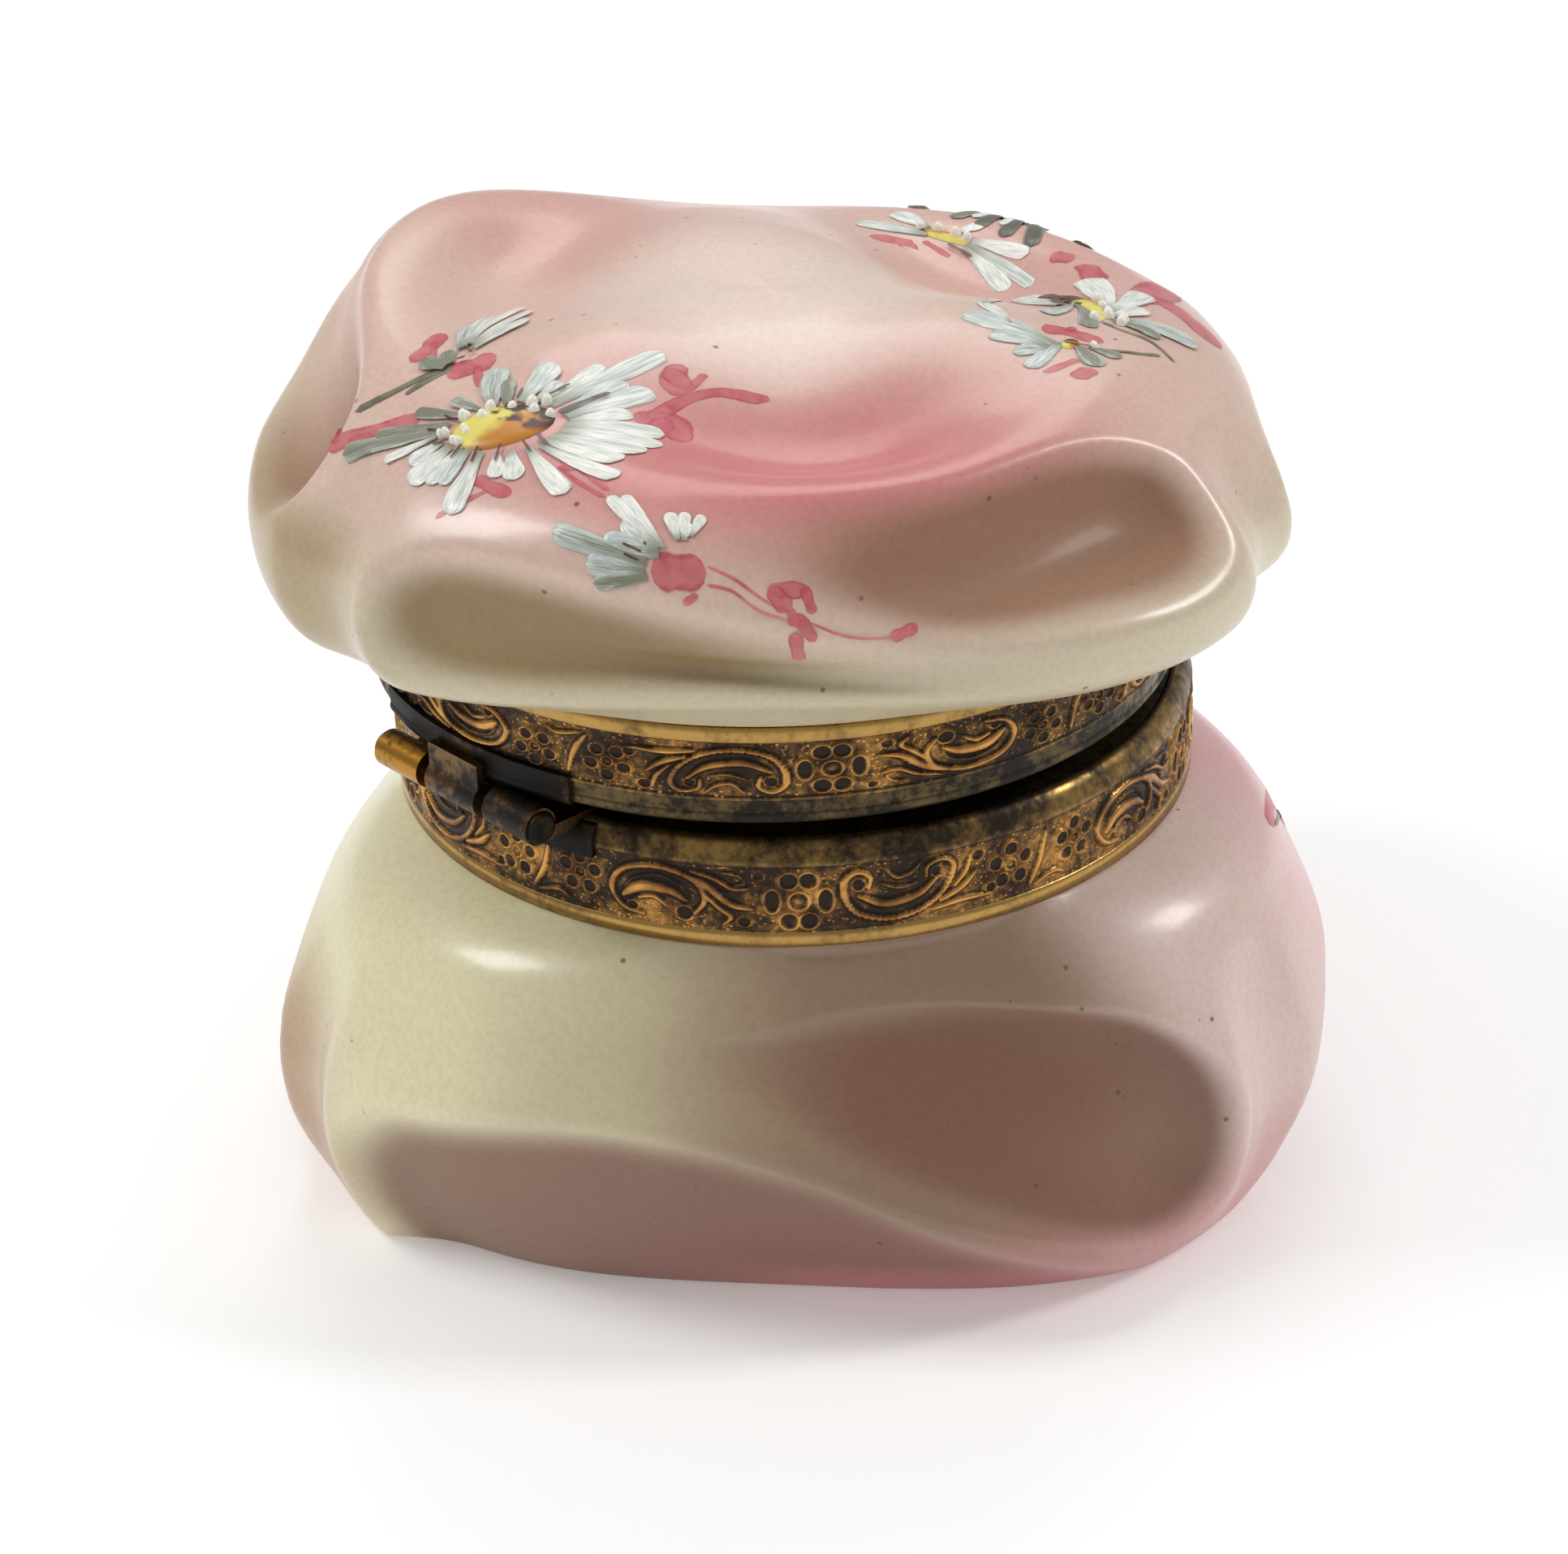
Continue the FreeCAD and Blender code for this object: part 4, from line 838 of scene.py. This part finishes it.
bead = FinishSheet("enamelBead")
pearl = bead.blend(bead.noise(900), paint(250, 248, 238), paint(232, 230, 214))
paintFinishes = {
    "petals": petalFinish(), "hearts": heartFinish(),
    "stems": washFinish("stemWash", paint(128, 128, 104), paint(82, 80, 62), 0.95),
    "ticks": washFinish("tickWash", paint(96, 44, 30), paint(52, 26, 20), 1),
    "pink": washFinish("pinkWash", paint(222, 116, 122), paint(196, 66, 84), 0.74),
    "dots": bead.finish(baseColor=pearl, roughness=0.22, coatWeight=0.4),
}
for kind, pieces in paintedPieces.items():
    for piece in pieces:
        wear(piece, paintFinishes[kind])


# Old brass: metal under patches of dark patina, rougher where it is dark.
def brassFinish(name, metal, grime, roughness, grimeAmount):
    s = FinishSheet(name)
    where = s.place()
    cloud = s.noise(240, 5, 0.6, where)
    fine = s.noise(1500, 3, 0.6, where)
    dark = s.ease(cloud + (fine - 0.5) * 0.5, 0.62 - grimeAmount * 0.5, 0.86 - grimeAmount * 0.5)
    return s.finish(baseColor=s.blend(dark, metal, grime), metallic=1 - dark * 0.35,
                    roughness=roughness + dark * 0.25, normal=s.bump(fine, 0.00005, 0.5))


brassKinds = {                       # metal, patina, roughness, how much patina, and the parts that wear it
    "dark": (paint(104, 84, 50), paint(26, 20, 14), 0.34, 0.6,
             ("base_collar_band", "base_register_neck", "lid_collar_band")),
    "rim": (paint(96, 80, 54), paint(34, 28, 20), 0.3, 0.55, ("lid_rim_ring",)),
    "hinge": (paint(176, 128, 52), paint(44, 32, 20), 0.28, 0.3, ("base_knuckle_left",)),
    "hingeDark": (paint(112, 84, 54), paint(30, 24, 19), 0.26, 0.55,
                  ("base_knuckle_right", "lid_knuckle_middle")),
    # the pin: patinated brass, made darker still as painted shade of the narrow gaps between the knuckles
    "pin": (paint(60, 50, 38), paint(18, 15, 12), 0.35, 0.6, ("hinge_pin",)),
    "leaf": (paint(84, 66, 42), paint(20, 17, 14), 0.32, 0.75, ("base_hinge_leaf", "lid_hinge_leaf")),
}
for kind, (metal, patina, roughness, amount, wearers) in brassKinds.items():
    brass = brassFinish(kind + "Brass", metal, patina, roughness, amount)
    for node in wearers:
        wear(nodes[node], brass)
plaster = FinishSheet("plasterBed")
chalk = plaster.blend(plaster.noise(500), paint(120, 112, 98), paint(64, 56, 46))
plasterFinish = plaster.finish(baseColor=chalk, roughness=0.9)
for node in ("base_plaster_bed", "lid_plaster_bed"):
    wear(nodes[node], plasterFinish)


# Gilt brass with a stippled ground: black-brown patina in the petals and beside the ridges, and painted shade
# on the collars between the two bands, under the upper collar's overhang.
def bandFinish():
    s = FinishSheet("embossedBrass")
    where = s.place()
    relief, shade, zone = s.mark("relief"), s.mark("shade"), s.mark("zone")
    height = s.axis(where, "Z") * 1000
    stipple = s.add("ShaderNodeTexVoronoi", None, {"Vector": where, "Scale": 2400}, output="Distance")
    cloud = s.noise(240, 4, 0.6, where)
    fine = s.noise(1500, 3, 0.6, where)
    rims = s.ease(relief, 0.50, 0.95)
    ground = s.ease(relief, 0.12, 0.02) * s.ease(shade, 0.3, 0.05) * zone
    # painted shade: darker over the heights between the bands, where the upper collar overhangs the lower
    shoulder = s.window(height, 37.9, 38.3, 44.7, 45)
    dots = s.ease(stipple, 0.12, 0.42)
    # patina in the hollows and on the ground, less on the raised rims, plus the painted shade between the
    # bands
    patinaAndShade = 0.42 * zone + shade * 0.45 - rims * 0.42 + ground * (dots * 0.55 - 0.36)
    patinaAndShade = patinaAndShade + shoulder * 0.36 + (1 - zone) * 0.16 + (cloud - 0.5) * 1.3
    patinaAndShade = s.ease(patinaAndShade + (fine - 0.5) * 0.7, 0.02, 0.78)
    gold = s.blend(s.ease(cloud, 0.35, 0.65), paint(206, 152, 82), paint(136, 94, 54))
    worn = s.blend(s.ease(zone, 1, 0), gold, paint(176, 140, 80))
    normal = s.bump(ground * (1 - dots) + fine * 0.3, 0.00010, 0.6)
    return s.finish(baseColor=s.blend(patinaAndShade, worn, paint(40, 29, 19)), metallic=1 - patinaAndShade * 0.35,
                    roughness=0.26 + patinaAndShade * 0.22, normal=normal)


embossedBrass = bandFinish()
wear(lowerBand, embossedBrass)
wear(upperBand, embossedBrass)
print("finishes worn")


view = {"distance": 360, "aim": 31.5, "rise": 28.5, "roll": -1.41, "lens": 104.65,     # mm and degrees
        "shift": (-0.00699, -0.02122)}
heading = math.radians(swirlTurn)
front = Vector((math.cos(heading), math.sin(heading), 0))
right = Vector((-front.y, front.x, 0))
rise, roll = math.radians(view["rise"]), math.radians(view["roll"])
ahead = -front * math.cos(rise) - Vector((0, 0, math.sin(rise)))
up = right.cross(ahead)
sideways = right * math.cos(roll) + up * math.sin(roll)
upright = up * math.cos(roll) - right * math.sin(roll)
cameraData = bpy.data.cameras.new("studioCamera")
camera = bpy.data.objects.new("studioCamera", cameraData)
bpy.context.scene.collection.objects.link(camera)
spot = (Vector((0, 0, view["aim"])) - ahead * view["distance"]) * mm
camera.matrix_world = Matrix.Translation(spot) @ Matrix(
    [[sideways[i], upright[i], -ahead[i]] for i in range(3)]).to_4x4()
cameraData.sensor_fit, cameraData.sensor_width, cameraData.lens = "HORIZONTAL", 36, view["lens"]
cameraData.shift_x, cameraData.shift_y = view["shift"]
bpy.context.scene.camera = camera
bpy.context.scene.view_settings.view_transform = "Standard"

studio = {                           # lights: metres right, forwards and up, size in metres, watts
    "lights": {"keyLight": (-0.38, 0.04, 0.50, 0.18, 1.35), "rightLight": (0.48, 0.02, 0.38, 0.12, 0.95),
               "backLight": (0.05, -0.40, 0.60, 0.40, 1.2), "frontFill": (0, 0.70, 0.30, 0.50, 0.04)},
    "aim": 0.035, "world": 0.42, "floorReach": 3, "floorGlow": 0.20,
}
# Square area lights placed by right-left and front-back, aimed at the jar's middle.
for name, (across, forwards, height, size, power) in studio["lights"].items():
    lightData = bpy.data.lights.new(name, "AREA")
    lightData.size, lightData.energy = size, power
    light = bpy.data.objects.new(name, lightData)
    bpy.context.scene.collection.objects.link(light)
    light.location = right * across + front * forwards + Vector((0, 0, height))
    aim = Vector((0, 0, studio["aim"])) - light.location
    light.rotation_euler = aim.to_track_quat("-Z", "Y").to_euler()
world = bpy.data.worlds.new("paleRoom")
bpy.context.scene.world = world
world.use_nodes = True
world.node_tree.nodes["Background"].inputs["Color"].default_value = (1, 1, 1, 1)
world.node_tree.nodes["Background"].inputs["Strength"].default_value = studio["world"]

floorMesh = bpy.data.meshes.new("floor")
reach = studio["floorReach"]
floorMesh.from_pydata([(-reach, -reach, 0), (reach, -reach, 0), (reach, reach, 0), (-reach, reach, 0)],
                      [], [(0, 1, 2, 3)])
floor = bpy.data.objects.new("floor", floorMesh)
bpy.context.scene.collection.objects.link(floor)
card = FinishSheet("paleCard")
wear(floor, card.finish(baseColor=card.blend(card.noise(3), paint(250, 250, 250), paint(247, 247, 247)),
                        roughness=0.9, emissionColor=(1, 1, 1, 1),
                        emissionStrength=studio["floorGlow"]))
print("stage set")
